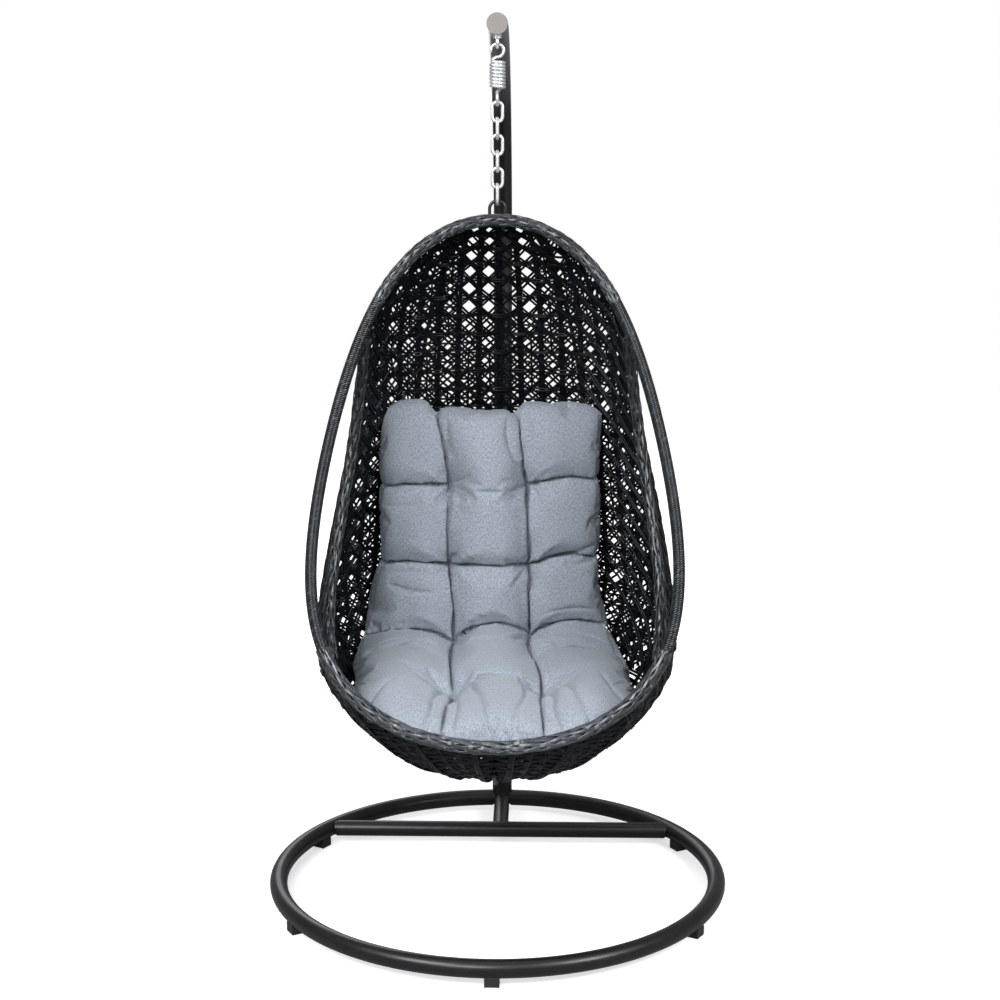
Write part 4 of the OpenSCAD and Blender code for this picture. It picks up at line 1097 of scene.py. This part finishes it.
def pinched(front, x, d):
    """The front with the cloth on both sides of every valley drawn towards it, so that a valley closes to
    a crease."""
    _, _, h = pad_middle(d)
    onward = np.stack([0 * h, -np.sin(h), -np.cos(h)], -1)
    across = np.array([1.0, 0.0, 0.0])
    for number, (gap, strength) in enumerate(stitch_lines(x, d)):
        pull = strength * 0.006 * np.sign(gap) * np.exp(-((np.abs(gap) - 0.0095) / 0.0065) ** 2)
        front = front - pull[..., None] * (onward if number < ROWS else across)
    return front


def pressed(points):
    """Points that would lie in the wall's strands are drawn back towards the belly's middle until they
    rest on them."""
    ray = points - BELLY
    far = np.linalg.norm(ray, axis=-1, keepdims=True)
    wall, share = wall_place(ray / far)
    room = np.linalg.norm(wall - BELLY, axis=-1, keepdims=True) - 0.0075
    return np.where((share[:, None] > -0.02) & (far > room), BELLY + ray * room / far, points)


def make_cushion():
    """Front and rear grids, blown up, made finer, then creased, given a seam round the edge, pinched at
    the valleys and laid against the wall."""
    a, v = pad_grid(PAD_A, PAD_V)
    front, rear = pad_face(a, v, 1), pad_face(a, v, -1)
    rear_index, faces = pad_faces(PAD_A, PAD_V)
    points = puffed(front, rear, faces, PAD_A, PAD_V)
    front = finer(points[:PAD_A * PAD_V].reshape(PAD_V, PAD_A, 3), PAD_FINE)
    rear = finer(points[rear_index], PAD_FINE)
    a, v = finer(np.stack([a, v], -1), PAD_FINE).transpose(2, 0, 1)
    a, v = np.clip(a, -1, 1), np.clip(v, 0, 1)
    x, d = pad_flat(a, v)
    edge = np.minimum((1 - np.abs(a)) * BACK_HALF, np.minimum(v, 1 - v) * PAD_L)
    out = -grid_normals(front)
    out *= np.sign((out * (front - rear)).sum(-1).mean())
    edge_seam = 0.0016 * np.exp(-((edge - 0.006) / 0.0028) ** 2)
    front = front + out * (creases(x, d) * smooth(edge / 0.012) - edge_seam)[..., None]
    front = front + (pinched(front, x, d) - front) * smooth(edge / 0.02)[..., None]
    rows, cols = front.shape[:2]
    _, faces = pad_faces(cols, rows)
    points = pressed(np.concatenate([front.reshape(-1, 3), rear[1:-1, 1:-1].reshape(-1, 3)]))
    flat = np.stack([x, d], -1)
    flat = np.concatenate([flat.reshape(-1, 2), flat[1:-1, 1:-1].reshape(-1, 2)])
    return make_mesh("seat_cushion", hung(points), faces, cloth=flat)


cushion = make_cushion()
finished(cushion, linen_finish, "blue_linen", "basket", "cushion")

# ---------------------------------------------------------------- studio
LAMP_COLOUR = (0.94, 0.97, 1.0)


def lamp(name, place, aim, size, power):
    """A square soft lamp that points at aim."""
    data = bpy.data.lights.new(name, "AREA")
    data.size = size
    data.energy = power
    data.color = LAMP_COLOUR
    obj = bpy.data.objects.new(name, data)
    scene.collection.objects.link(obj)
    obj.location = place
    way = np.array(aim, float) - np.array(place, float)
    lean = math.acos(-way[2] / np.linalg.norm(way))
    obj.rotation_euler = (lean, 0, math.atan2(way[1], way[0]) - math.pi / 2)


lamp("left_front_lamp", (-2.4, -2.9, 3.5), (0, 0, 0.9), 1.6, 128)
lamp("right_front_lamp", (2.7, -2.5, 3.0), (0, 0, 0.9), 1.5, 124)
lamp("fill_lamp", (-0.9, -3.9, 3.0), (0, 0, 0.9), 1.5, 86)
lamp("rear_lamp", (-1.2, 3.9, 2.4), (0, 0, 0.9), 2.0, 28)
lamp("top_lamp", (0, 0.2, 4.2), (0, 0, 0.8), 1.4, 10)

# The world is white where the camera sees it, and only lights the object at WORLD_LIGHT.
WORLD_LIGHT = 0.22
world = bpy.data.worlds.new("studio")
scene.world = world
world.use_nodes = True
backdrop = world.node_tree.nodes["Background"]
studio = Shading(world.node_tree)
in_view = studio.node("LightPath", out="Is Camera Ray")
through = studio.node("LightPath", out="Is Transmission Ray")
white = studio.node("Math", {"operation": "MAXIMUM"}, {0: in_view, 1: through})
studio.feed(backdrop.inputs["Strength"], studio.spread(white, 0.0, 1.0, WORLD_LIGHT, 1.0))
backdrop.inputs["Color"].default_value = (1, 1, 1, 1)

FLOOR_HALF, FLOOR_CELLS, FLOOR_DROP = 7, 14, 0.0005
floor_line = np.linspace(-FLOOR_HALF, FLOOR_HALF, FLOOR_CELLS + 1)
floor_x, floor_y = np.meshgrid(floor_line, floor_line)
floor_index = np.arange(floor_x.size).reshape(floor_x.shape)
floor = make_mesh("floor", np.stack([floor_x, floor_y, 0 * floor_x - FLOOR_DROP], -1).reshape(-1, 3),
                  grid_quads(floor_index))


def pale_floor():
    """A pale floor that glows towards white in the distance where the camera sees it, and throws little
    light back."""
    f = Finish("pale_floor")
    in_view = f.node("LightPath", out="Is Camera Ray")
    far = f.node("VectorMath", {"operation": "LENGTH"}, {0: f.place}, out=1)
    pale = f.mix(f.noise(2.0), (0.80, 0.80, 0.80), (0.82, 0.82, 0.82))
    glow = f.mix(in_view * f.spread(far, 0.9, 3.0, 0.6, 1.0), (0.0, 0.0, 0.0), (1.0, 1.0, 1.0))
    return f.surface(Base_Color=f.mix(in_view, (0.3, 0.3, 0.3), pale), Roughness=0.9, Specular_IOR_Level=0.1,
                     Emission_Color=glow, Emission_Strength=1.0)


floor.data.materials.append(pale_floor())

scene.view_settings.view_transform = "Standard"
